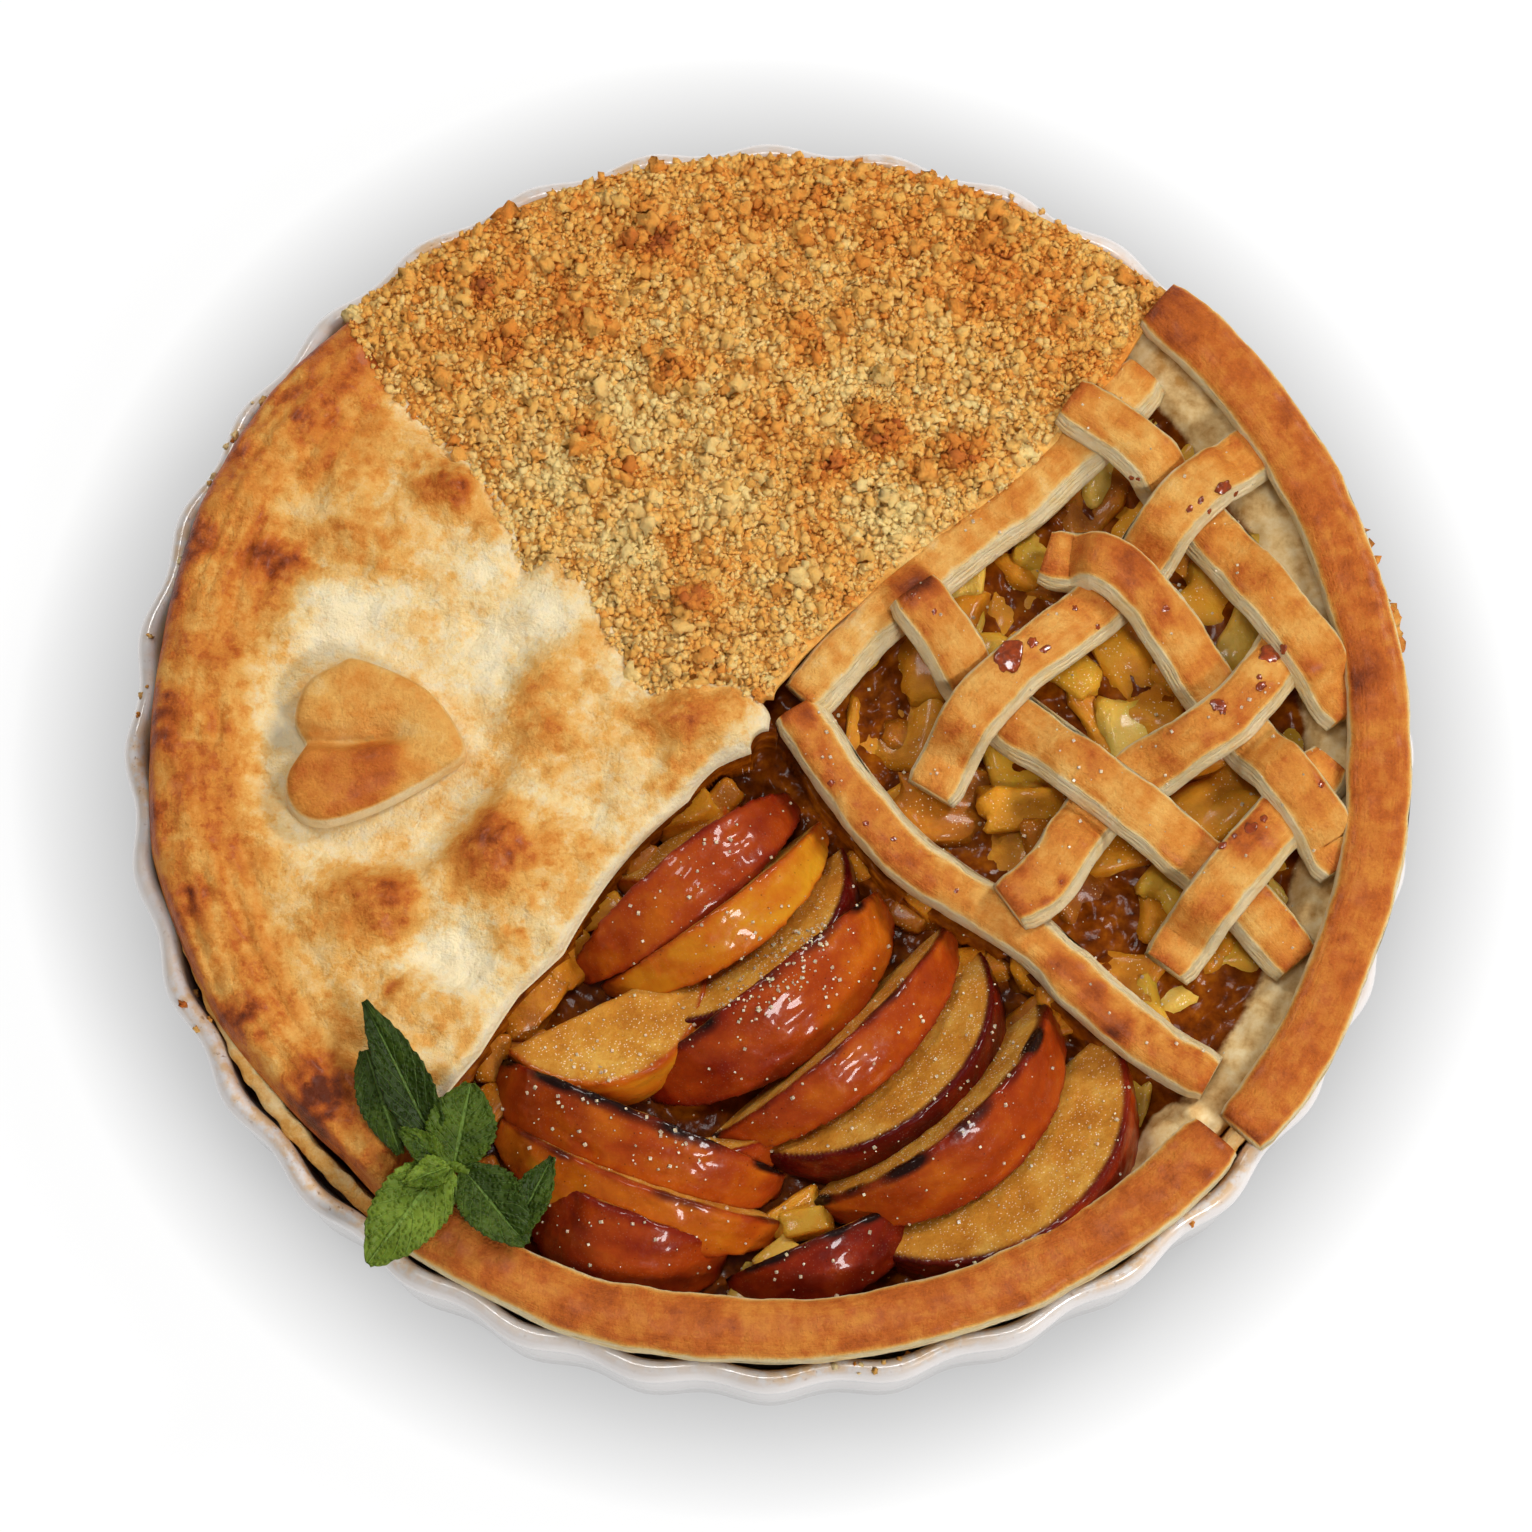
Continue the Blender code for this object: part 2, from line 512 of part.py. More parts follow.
def make_strips(collection, cutters):
    # Borders, bands and woven strips; the strips are then cut back where they press on what they lie on
    made = {}
    for name, plan in (("border_by_crumble", CRUMBLE_BORDER), ("border_by_slices", OPEN_BORDER)):
        route = smooth_route([(x, y, BORDER_LEVEL) for x, y in plan], STRIP_STEPS + 2)
        made[name] = swept_strip(name, route, BORDER_WIDTH, BORDER_THICK, "baked_pastry", collection)
    bands = (
        ("right_rim_band", RIGHT_BAND_RADIUS, RIGHT_BAND_WIDTH, RIGHT_BAND_ANGLES),
        ("front_rim_band", FRONT_BAND_RADIUS, FRONT_BAND_WIDTH, FRONT_BAND_ANGLES),
    )
    for name, radius, width, angles in bands:
        made[name] = make_band(name, radius, width, angles, collection)
    for name, stops in WOVEN.items():
        plan = smooth_route([(x, y, 0) for x, y, level in stops], STRIP_STEPS)
        route = [(p.x, p.y, weave_level(p.xy, stops)) for p in plan]
        made[name] = swept_strip(name, route, STRIP_WIDTH, STRIP_THICK, "baked_pastry", collection)
    rooms = {other: room_for(made[other], cutters) for others in GIVES_WAY.values() for other in others}
    for name, others in GIVES_WAY.items():
        for other in others:
            cut_back(made[name], rooms[other])


def apple_slice(name, first, last, side, tip_up, cut_angle, radius, collection):
    # A stretched ball, cut by two planes through its long axis and one where the core was taken out
    half_cut = math.radians(cut_angle / 2)
    run = Vector((*last, 0)) - Vector((*first, 0))
    half_length = run.length / 2 / math.sqrt(1 - (CORE_RADIUS / radius) ** 2)
    bm = bmesh.new()
    bmesh.ops.create_uvsphere(bm, u_segments=20, v_segments=12, radius=1.0)
    bmesh.ops.transform(bm, matrix=Matrix.Rotation(math.pi / 2, 4, "Y"), verts=bm.verts)
    bmesh.ops.transform(bm, matrix=Matrix.Diagonal((half_length, radius, radius, 1)), verts=bm.verts)
    cuts = [((0, 0, CORE_RADIUS), (0, 0, -1))]
    cuts += [((0, 0, 0), (0, s * math.cos(half_cut), -math.sin(half_cut))) for s in (-1, 1)]
    for place, normal in cuts:
        bmesh.ops.bisect_plane(bm, geom=bm.verts[:] + bm.edges[:] + bm.faces[:], dist=0.01, plane_co=place,
                               plane_no=normal, clear_outer=True)
        bmesh.ops.holes_fill(bm, edges=[e for e in bm.edges if e.is_boundary])
    bmesh.ops.remove_doubles(bm, verts=bm.verts, dist=0.05)
    along_axis = run.normalized()
    across = Vector((along_axis.y, -along_axis.x, 0)) * side
    tip = math.radians(tip_up)
    outward = across * math.cos(tip) + Vector((0, 0, math.sin(tip)))
    turn = Matrix((along_axis, outward.cross(along_axis), outward)).transposed().to_4x4()
    middle = (Vector((*first, 0)) + Vector((*last, 0))) / 2 - outward * CORE_RADIUS
    bmesh.ops.transform(bm, matrix=Matrix.Translation(middle) @ turn, verts=bm.verts)
    lowest = min(v.co.z for v in bm.verts)
    bmesh.ops.translate(bm, verts=bm.verts, vec=(0, 0, SLICE_LEVEL - lowest))
    return add_object(name, bm, "apple_skin", collection)


def make_slices(collection, cutters):
    rooms = {}
    for name, first, last, side, tip_up, cut_angle, radius, over in SLICES:
        piece = apple_slice(name, first, last, side, tip_up, cut_angle, radius, collection)
        for other in over:
            cut_back(piece, rooms[other])
        rooms[name] = room_for(piece, cutters)


def chunk(x, y, size, foot, top, turn, seed):
    # A cut cube of apple with worn corners and no two sides alike, sunk in the fruit below it
    draw = random.Random(seed)
    bm = bmesh.new()
    bmesh.ops.create_cube(bm, size=size)
    bmesh.ops.bevel(bm, geom=bm.edges[:], offset=size * 0.16, segments=1, affect="EDGES", profile=0.5,
                    material=-1)
    for vert in bm.verts:
        vert.co *= 1 + draw.uniform(-0.08, 0.08)
    squat = Matrix.Diagonal((1.0, draw.uniform(0.7, 0.95), (top - foot) / size, 1))
    lean = Matrix.Rotation(math.radians(draw.uniform(-14, 14)), 4, "X")
    spot = Matrix.Rotation(math.radians(turn), 4, "Z") @ lean @ squat
    bmesh.ops.transform(bm, matrix=spot, verts=bm.verts)
    highest = max(v.co.z for v in bm.verts)
    bmesh.ops.translate(bm, verts=bm.verts, vec=(x, y, top - highest))
    return bm


def in_lattice(x, y, inset):
    # Whether a place lies in the lattice quarter, clear of its borders
    radius = math.hypot(x, y)
    if not 20 < radius < 124 - inset:
        return False
    angle = math.degrees(math.atan2(y, x))
    margin = math.degrees(inset / radius)
    return along(LATTICE_OPEN_EDGE, radius) + margin < angle < along(CRUMBLE_LATTICE_EDGE, radius) - margin


def lattice_chunks():
    # Rows of chunks, jogged about, over the lattice quarter
    draw = random.Random(7)
    for row in range(-CHUNK_ROWS, CHUNK_ROWS + 3):
        for column in range(9):
            x = 12 + CHUNK_SPACING * (column + (row % 2) / 2) + draw.uniform(-3, 3)
            y = row * CHUNK_SPACING * 0.85 + draw.uniform(-3, 3)
            size, turn = draw.uniform(14, 18), draw.uniform(0, 180)
            if in_lattice(x, y, 19):
                yield x, y, size, LATTICE_FLOOR - 5, STRIP_SHELF + draw.uniform(-1.2, 0.1), turn


def lattice_hollow(x, y, edge_distance):
    # The fruit's surface under the lattice, with a shelf for the border strips
    sink = (STRIP_SHELF - LATTICE_FLOOR) * smoothstep((edge_distance - 15) / 4)
    return STRIP_SHELF - sink


def make_filling(collection, cutters):
    section = [
        (0.0, CASE_FLOOR + GAP, 0.0),
        (FOOT_RADIUS - 10.1, CASE_FLOOR + GAP, 0.0),
        (RIM_RADIUS - 10.9, FILL_TOP, 0.0),
        (0.0, FILL_TOP, 0.0),
    ]
    core = add_object("fruit_filling", turned(section, FILL_STEPS, pulled_in=1.0), "fruit_filling", collection)
    above = flush(ROOM_HEIGHT)
    high = [(r, a + math.degrees(2.0 / r)) for r, a in CRUMBLE_LATTICE_EDGE]
    low = [(r, a - math.degrees(min(0.7, 3.0 / r))) for r, a in LATTICE_OPEN_EDGE]
    under_lid = [(r, a - 360 - math.degrees(min(0.4, 2.5 / r))) for r, a in LID_OPEN_EDGE]
    lattice_room = sector(ROOM_RADII, low, high, 10, lattice_hollow, above)
    open_room = sector(ROOM_RADII, under_lid, LATTICE_OPEN_EDGE, 8, flush(OPEN_FLOOR), above)
    join_flat_faces(open_room, OPEN_FLOOR)
    apex_room = bmesh.new()
    depth = ROOM_HEIGHT - OPEN_FLOOR
    bmesh.ops.create_cone(apex_room, cap_ends=True, segments=12, radius1=APEX_RADIUS, radius2=APEX_RADIUS,
                          depth=depth)
    bmesh.ops.translate(apex_room, verts=apex_room.verts, vec=(0, 0, OPEN_FLOOR + depth / 2))
    for name, bm in (("open_room", open_room), ("lattice_room", lattice_room), ("apex_room", apex_room)):
        room = add_object(name, bm, "fruit_filling", cutters)
        hide_helper(room)
        cut = core.modifiers.new(name, "BOOLEAN")
        cut.operation = "DIFFERENCE"
        cut.object = room
    bpy.context.view_layer.update()
    heap = new_collection("fruit_heap")
    pieces = [*lattice_chunks(), *OPEN_CHUNKS]
    for number, piece in enumerate(pieces):
        add_object(f"heap_{number}", chunk(*piece, seed=number), "fruit_filling", heap)
    join = core.modifiers.new("heap", "BOOLEAN")
    join.operation = "UNION"
    join.operand_type = "COLLECTION"
    join.collection = heap
    join.solver = "MANIFOLD"
    bpy.context.view_layer.update()
    mesh = bpy.data.meshes.new_from_object(core.evaluated_get(bpy.context.evaluated_depsgraph_get()))
    core.modifiers.clear()
    core.data = mesh
    for obj in list(heap.objects):
        bpy.data.objects.remove(obj, do_unlink=True)
    bpy.data.collections.remove(heap)


def leaf(foot, tip, width, fold):
    # A flat grid drawn in to a leaf's outline, folded along its midrib and waved, both faces split alike
    bm = bmesh.new()
    bmesh.ops.create_grid(bm, x_segments=LEAF_LENGTH_STEPS, y_segments=LEAF_WIDTH_STEPS, size=1.0)
    run = Vector(tip) - Vector(foot)
    for vert in bm.verts:
        t = (vert.co.x + 1) / 2
        side = vert.co.y
        outline = math.sin(math.pi * min(0.97, 0.06 + 0.92 * t) ** 0.85) ** 0.75
        lift = abs(side) * outline * width / 2 * math.tan(math.radians(fold))
        wave = 0.5 * math.sin(9 * t + 2 * side) * abs(side) + 0.8 * math.sin(math.pi * t)
        vert.co = (t * run.length, side * outline * width / 2, lift + wave)
    bmesh.ops.triangulate(bm, faces=bm.faces[:])
    along_leaf = run.normalized()
    sideways = Vector((0, 0, 1)).cross(along_leaf).normalized()
    turn = Matrix((along_leaf, sideways, along_leaf.cross(sideways))).transposed().to_4x4()
    bmesh.ops.transform(bm, matrix=Matrix.Translation(foot) @ turn, verts=bm.verts)
    bmesh.ops.recalc_face_normals(bm, faces=bm.faces[:])
    bmesh.ops.solidify(bm, geom=bm.faces[:], thickness=LEAF_THICK)
    return bm


def make_mint(collection):
    # The stem is a tube of eight sides, and the leaves are joined on
    path = bpy.data.curves.new("mint_stem", "CURVE")
    path.dimensions = "3D"
    path.bevel_depth = STEM_RADIUS
    path.bevel_resolution = 2
    path.use_fill_caps = True
    spline = path.splines.new("POLY")
    route = smooth_route(STEM_ROUTE, 7)
    spline.points.add(len(route) - 1)
    for point, place in zip(spline.points, route):
        point.co = (*place, 1)
    swept = bpy.data.objects.new("mint_stem", path)
    bpy.context.scene.collection.objects.link(swept)
    bpy.context.view_layer.update()
    bm = bmesh.new()
    bm.from_mesh(bpy.data.meshes.new_from_object(swept.evaluated_get(bpy.context.evaluated_depsgraph_get())))
    bpy.data.objects.remove(swept, do_unlink=True)
    bmesh.ops.remove_doubles(bm, verts=bm.verts, dist=0.01)
    sprig = add_object("mint_sprig", bm, "mint_leaf", collection)
    leaves = new_collection("mint_leaves")
    for number, form in enumerate(LEAVES):
        add_object(f"leaf_{number}", leaf(*form), "mint_leaf", leaves)
    join = sprig.modifiers.new("leaves", "BOOLEAN")
    join.operation = "UNION"
    join.operand_type = "COLLECTION"
    join.collection = leaves
    join.solver = "MANIFOLD"
    bpy.context.view_layer.update()
    mesh = bpy.data.meshes.new_from_object(sprig.evaluated_get(bpy.context.evaluated_depsgraph_get()))
    sprig.modifiers.clear()
    sprig.data = mesh
    for obj in list(leaves.objects):
        bpy.data.objects.remove(obj, do_unlink=True)
    bpy.data.collections.remove(leaves)


def main():
    clear_scene()
    pie = new_collection("apple_pie")
    cutters = new_collection("cutters")
    add_object("dish", turned(DISH_SECTION, ROUND_STEPS), "porcelain", pie)
    add_object("pastry_case", turned(CASE_SECTION, CASE_STEPS, pulled_in=1.0), "case_pastry", pie)
    make_filling(pie, cutters)
    make_lid(pie)
    make_heart(pie)
    make_crumble(pie)
    make_strips(pie, cutters)
    make_slices(pie, cutters)
    make_mint(pie)


main()
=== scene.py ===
# Looks for the apple pie in four styles. Shapes and tables are in millimetres, and each mesh ends in metres.
import math
import random

import bmesh
import bpy
from mathutils import Matrix, Vector, noise
from mathutils.bvhtree import BVHTree


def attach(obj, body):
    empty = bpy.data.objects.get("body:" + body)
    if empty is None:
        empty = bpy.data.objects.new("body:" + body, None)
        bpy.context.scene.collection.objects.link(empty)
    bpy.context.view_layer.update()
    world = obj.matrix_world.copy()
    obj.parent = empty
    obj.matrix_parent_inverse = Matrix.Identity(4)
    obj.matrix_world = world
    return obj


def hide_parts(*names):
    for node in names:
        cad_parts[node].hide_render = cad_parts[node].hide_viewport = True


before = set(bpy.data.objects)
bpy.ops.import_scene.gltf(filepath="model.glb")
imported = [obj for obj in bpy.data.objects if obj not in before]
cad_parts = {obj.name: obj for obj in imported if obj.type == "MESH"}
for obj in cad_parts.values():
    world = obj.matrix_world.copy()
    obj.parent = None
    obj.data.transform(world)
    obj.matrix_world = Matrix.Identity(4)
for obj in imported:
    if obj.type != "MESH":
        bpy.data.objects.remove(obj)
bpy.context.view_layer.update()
mm = 0.001
dropFrom = 70  # above the whole pie
print("frame loaded:", len(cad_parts), "nodes")

# Edges between the four quarters, as radius and polar angle in degrees
lidCrumbleEdge = [(4, 92), (7, 90), (14, 111), (20, 137), (28, 154), (36, 147), (44, 141), (54, 136), (63, 137.5),
                  (67, 142), (78, 137), (90, 135.3), (101, 135.3), (120, 135.2), (138, 132.5)]
lidOpenEdge = [(4, 196), (12, 201), (21, 214), (35, 217.5), (50, 222), (64, 226), (77, 225.6), (92, 227.6),
               (105, 228), (118, 229.5), (138, 231)]
crumbleLatticeEdge = [(3.9, 60), (8, 98), (13, 95), (17, 84.6), (26, 72), (37, 63.2), (58, 54.9), (80, 50.1),
                      (100, 49.1), (113, 49.4), (126, 50.3), (138, 50.6)]
latticeOpenEdge = [(3.9, 25), (5, -6), (6.7, -24), (10.7, -38.8), (15, -45.3), (37, -48.6), (52, -45.2),
                   (69, -41.6), (90, -42.4), (108, -42.1), (138, -39.5)]


# Small tools

def ease(t):
    t = min(1.0, max(0.0, t))
    return t * t * (3 - 2 * t)


def readAlong(pairs, at):
    if at <= pairs[0][0]:
        return pairs[0][1]
    for (a, first), (b, second) in zip(pairs, pairs[1:]):
        if at <= b:
            return first + (second - first) * (at - a) / (b - a)
    return pairs[-1][1]


def fuzz(place, size, seed=0.0):  # smooth noise of about -1 to 1, with lumps of that size
    return noise.noise(Vector(place) / size + Vector((seed * 17.3, seed * 5.1, seed * 9.7)))


def marks(x, y, spots):  # soft round spots, each as x, y, radius and strength
    total = 0.0
    for cx, cy, r, strength in spots:
        away = (x - cx) ** 2 + (y - cy) ** 2
        if away < 9 * r * r:
            total += strength * math.exp(-away / (r * r))
    return total


def polar(x, y):
    return math.hypot(x, y), math.degrees(math.atan2(y, x))


def linear(*shade):  # a colour as a screen shows it, 0 to 255, in the shader's own scale
    shade = [c / 255 for c in shade]
    return tuple(c / 12.92 if c < 0.0404 else ((c + 0.055) / 1.055) ** 2.4 for c in shade) + (1.0,)


def putIn(name, data):  # an object at the origin, in the scene
    made = bpy.data.objects.new(name, data)
    bpy.context.scene.collection.objects.link(made)
    return made


def paintLayers(bm, *names):  # new values to paint on the points of a shape
    layers = [bm.verts.layers.float.new(name) for name in names]
    return layers if len(layers) > 1 else layers[0]


def drawnOut(bm, edges):  # a new row of faces from those edges, and the edges it ends in
    made = bmesh.ops.extrude_edge_only(bm, edges=edges)["geom"]
    edges = [g for g in made if isinstance(g, bmesh.types.BMEdge) and g.is_boundary]
    return edges, list({v for e in edges for v in e.verts})


def closeHoles(bm):
    bmesh.ops.holes_fill(bm, edges=[e for e in bm.edges if e.is_boundary])


def turned(section, steps):  # a section of radius and height, spun round the upright axis
    bm = bmesh.new()
    verts = [bm.verts.new((r, 0, z)) for r, z in section]
    edges = [bm.edges.new(pair) for pair in zip(verts, verts[1:])]
    bmesh.ops.spin(bm, geom=verts + edges, axis=(0, 0, 1), steps=steps, angle=2 * math.pi, use_merge=True)
    bmesh.ops.remove_doubles(bm, verts=bm.verts[:], dist=0.005)
    return bm


def addPiece(name, bm, finish, stands=(), sharp=None):
    bmesh.ops.recalc_face_normals(bm, faces=bm.faces[:])
    bmesh.ops.transform(bm, matrix=Matrix.Scale(mm, 4), verts=bm.verts[:])
    mesh = bpy.data.meshes.new(name)
    bm.to_mesh(mesh)
    bm.free()
    mesh.shade_smooth()
    if sharp:
        mesh.set_sharp_from_angle(angle=math.radians(sharp))
    mesh.materials.append(finish)
    piece = putIn(name, mesh)
    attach(piece, "root")
    if stands:
        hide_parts(*stands)
    print(name, len(mesh.polygons), "faces")
    return piece


def treeOf(*pieces):  # what crumbs, sugar and glaze are set down on, in millimetres
    bm = bmesh.new()
    for piece in pieces:
        bm.from_mesh(piece.data)
    bmesh.ops.transform(bm, matrix=Matrix.Scale(1 / mm, 4), verts=bm.verts[:])
    tree = BVHTree.FromBMesh(bm)
    bm.free()
    return tree


def drop(ground, x, y):  # the place and normal below a point
    return ground.ray_cast(Vector((x, y, dropFrom)), Vector((0, 0, -1)))[:2]


def smoothRoute(points, count):  # evenly spaced points of a smooth curve through the given ones
    points = [Vector(p) for p in points]
    padded = [2 * points[0] - points[1], *points, 2 * points[-1] - points[-2]]
    dense = []
    for a, b, c, d in zip(padded, padded[1:], padded[2:], padded[3:]):
        for i in range(20):
            t = i / 20
            dense.append(0.5 * (2 * b + (c - a) * t + (2 * a - 5 * b + 4 * c - d) * t * t
                                + (3 * b - a - 3 * c + d) * t ** 3))
    dense.append(points[-1])
    lengths = [0.0]
    for a, b in zip(dense, dense[1:]):
        lengths.append(lengths[-1] + (b - a).length)
    route = []
    k = 1
    for i in range(count):
        at = lengths[-1] * i / (count - 1)
        while k < len(lengths) - 1 and lengths[k] < at:
            k += 1
        share = (at - lengths[k - 1]) / max(1e-9, lengths[k] - lengths[k - 1])
        route.append(dense[k - 1].lerp(dense[k], min(1.0, share)))
    return route


# Shader tools

class Wire:  # one socket of a material, with arithmetic
    def __init__(self, finish, socket):
        self.finish = finish
        self.socket = socket

    def sum(self, operation, first, second):
        return self.finish.node("ShaderNodeMath", {"operation": operation}, {0: first, 1: second})

    def over(self, low, high):  # 0 at low, 1 at high, eased between
        return self.finish.node("ShaderNodeMapRange", {"interpolation_type": "SMOOTHSTEP"},
                                {"Value": self, "From Min": low, "From Max": high}, "Result")


for sign, operation in (("add", "ADD"), ("sub", "SUBTRACT"), ("mul", "MULTIPLY")):
    setattr(Wire, f"__{sign}__", lambda self, other, kind=operation: self.sum(kind, self, other))
    setattr(Wire, f"__r{sign}__", lambda self, other, kind=operation: self.sum(kind, other, self))


class Finish:  # a material, built up node by node
    def __init__(self, name, **fixed):
        self.material = bpy.data.materials.new(name)
        self.material.use_nodes = True
        self.tree = self.material.node_tree
        self.shader = self.tree.nodes["Principled BSDF"]
        self.place = None
        for key, value in fixed.items():
            self.feed(self.shader.inputs[key.replace("_", " ")], value)

    def feed(self, socket, value):
        if isinstance(value, Wire):
            self.tree.links.new(value.socket, socket)
        else:
            socket.default_value = value

    def node(self, kind, settings=None, inputs=None, output=0):
        made = self.tree.nodes.new(kind)
        for key, value in (settings or {}).items():
            if key == "stops":
                ramp = made.color_ramp.elements
                while len(ramp) < len(value):
                    ramp.new(1.0)
                for element, (at, colour) in zip(ramp, value):
                    element.position = at
                    element.color = colour
            else:
                setattr(made, key, value)
        for key, value in (inputs or {}).items():
            self.feed(made.inputs[key], value)
        return Wire(self, made.outputs[output])

    def at(self):  # the piece's own coordinates, in metres
        if self.place is None:
            self.place = self.node("ShaderNodeTexCoord", output="Object")
        return self.place

    def grain(self, size, detail=3.0, roughness=0.55):  # noise with lumps of that many millimetres
        return self.node("ShaderNodeTexNoise", inputs={
            "Vector": self.at(), "Scale": 1 / (size * mm), "Detail": detail, "Roughness": roughness})

    def cells(self, size):  # distance from the middles of cells of that many millimetres
        return self.node("ShaderNodeTexVoronoi", inputs={"Vector": self.at(), "Scale": 1 / (size * mm)},
                         output="Distance")

    def painted(self, name):  # a value painted on the piece's points
        return self.node("ShaderNodeAttribute", {"attribute_name": name}, output="Fac")

    def ramp(self, value, stops):  # each stop as its place and its colour as a screen shows it
        stops = [(at, linear(*shade)) for at, *shade in stops]
        return self.node("ShaderNodeValToRGB", {"stops": stops}, {"Fac": value}, "Color")

    def mix(self, share, first, second):
        return self.node("ShaderNodeMix", {"data_type": "RGBA"}, {0: share, 6: first, 7: second}, 2)

    def relief(self, height, depth):  # bump of that many millimetres
        return self.node("ShaderNodeBump", {}, {"Height": height, "Distance": depth * mm}, "Normal")

    def done(self, **wires):
        for key, value in wires.items():
            self.feed(self.shader.inputs[key.replace("_", " ")], value)
        return self.material


# Finishes

bakeTones = [(0.0, 246, 228, 186), (0.2, 240, 208, 146), (0.38, 231, 173, 90), (0.54, 216, 138, 54),
             (0.7, 192, 98, 30), (0.85, 152, 68, 18), (1.0, 104, 42, 12)]


def pastryFinish(name, flour, mottle, rolled=False):
    pastry = Finish(name, Subsurface_Weight=0.05, Subsurface_Scale=0.0015, Specular_IOR_Level=0.18)
    bake = pastry.painted("bake")
    fine = pastry.grain(3.0, 8.0, 0.7)
    speck = pastry.grain(0.5, 2.0)
    broad = pastry.grain(9.0, 9.0, 0.64).over(0.4, 0.62)
    small = pastry.grain(3.6, 8.0, 0.68).over(0.5, 0.6)
    spotted = 0.7 * (fine - 0.5) + 0.32 * (broad - 0.5) + 0.2 * (small - 0.5)
    tone = bake + mottle * spotted + 0.12 * (speck - 0.5)
    flakes = pastry.grain(1.1, 5.0, 0.65)
    height = 0.5 * flakes + 0.4 * pastry.grain(3.2, 5.0, 0.62) + 0.15 * speck
    if rolled:  # fine lines that run along the bar, strongest on its pale sides
        place = pastry.node("ShaderNodeCombineXYZ", {}, {
            "X": pastry.painted("along") * 0.06, "Y": pastry.painted("around") * 0.9}, "Vector")
        lines = pastry.node("ShaderNodeTexNoise", inputs={"Vector": place, "Scale": 2.2, "Detail": 5.0})
        pale = 1 - bake.over(0.12, 0.35)
        tone = tone + (0.14 + 0.22 * pale) * (lines - 0.5)
        height = height + lines * (0.2 + 0.7 * pale)
    colour = pastry.ramp(tone, bakeTones)
    dust = (1 - tone.over(0.1, 0.4)) * pastry.grain(2.4, 7.0, 0.7).over(0.47, 0.6) * flour
    colour = pastry.mix(dust, colour, linear(230, 220, 196))
    shine = tone.over(0.4, 0.85)
    rough = 0.68 - 0.24 * shine + 0.16 * (fine - 0.5)
    return pastry.done(Base_Color=colour, Roughness=rough, Coat_Weight=0.1 * shine, Coat_Roughness=0.25,
                       Normal=pastry.relief(height, 1.35))


def crumbleFinish():
    crumb = Finish("butterCrumble", Subsurface_Weight=0.05, Subsurface_Scale=0.0015, Specular_IOR_Level=0.3)
    bake = crumb.painted("bake")
    fine = crumb.grain(0.9, 3.0, 0.6)
    tone = bake + 0.25 * (fine - 0.5)
    colour = crumb.ramp(tone, [
        (0.0, 255, 222, 146), (0.28, 250, 188, 92), (0.5, 236, 148, 54),
        (0.75, 202, 108, 40), (1.0, 134, 62, 24)])
    return crumb.done(Base_Color=colour, Roughness=0.82,
                      Normal=crumb.relief(crumb.grain(0.6, 4.0, 0.7), 0.6))


def porcelainFinish():
    glaze = Finish("whiteGlaze", Roughness=0.12, Coat_Weight=0.6, Coat_Roughness=0.04)
    butter = glaze.painted("butter")
    smear = butter * glaze.grain(3.0, 4.0, 0.6).over(0.36, 0.62)
    dark = butter * glaze.grain(1.6, 3.0).over(0.6, 0.75)
    colour = glaze.mix(smear * 0.75, linear(226, 219, 215), linear(214, 166, 96))
    colour = glaze.mix(dark * 0.8, colour, linear(132, 78, 34))
    return glaze.done(Base_Color=colour, Roughness=0.12 + 0.4 * smear)


def fruitFinish():
    fruit = Finish("stewedApple", Subsurface_Weight=0.2, Subsurface_Scale=0.003, Specular_IOR_Level=0.12,
                   Coat_Roughness=0.12)
    ripe = fruit.painted("ripe")
    fibre = fruit.grain(2.4, 4.0, 0.6)
    clear = fruit.grain(9.0, 2.0)
    tone = ripe + 0.24 * (fibre - 0.5) + 0.4 * (clear - 0.5) + 0.03
    colour = fruit.ramp(tone, [
        (0.0, 48, 16, 2), (0.2, 116, 54, 6), (0.4, 180, 106, 18),
        (0.6, 212, 142, 32), (0.8, 210, 162, 50), (1.0, 220, 184, 92)])
    grain = fruit.grain(0.8, 3.0, 0.7)
    glint = (1 - fruit.cells(0.9).over(0.1, 0.22)) * fruit.grain(6.0, 2.0).over(0.42, 0.56)
    colour = fruit.mix(glint * 0.85, colour, linear(254, 238, 196))
    return fruit.done(Base_Color=colour, Roughness=0.36 + 0.2 * (fibre - 0.5), Coat_Weight=0.1 + 0.2 * ripe,
                      Normal=fruit.relief(0.6 * fibre + 0.5 * grain, 0.5))


def syrupFinish():
    syrup = Finish("darkSyrup", Specular_IOR_Level=0.12)
    ripe = syrup.painted("ripe")
    swirl = syrup.grain(4.0, 4.0, 0.6)
    colour = syrup.ramp(swirl, [(0.3, 76, 28, 0), (0.5, 116, 52, 2), (0.72, 152, 82, 10)])
    dough = syrup.ramp(swirl, [(0.3, 192, 142, 76), (0.5, 228, 194, 134), (0.7, 242, 220, 172)])
    doughy = (ripe + 0.3 * (swirl - 0.5)).over(0.5, 0.75)
    return syrup.done(Base_Color=syrup.mix(doughy, colour, dough), Roughness=0.16 + 0.4 * doughy,
                      Normal=syrup.relief(syrup.grain(3.0, 3.0), 0.18))


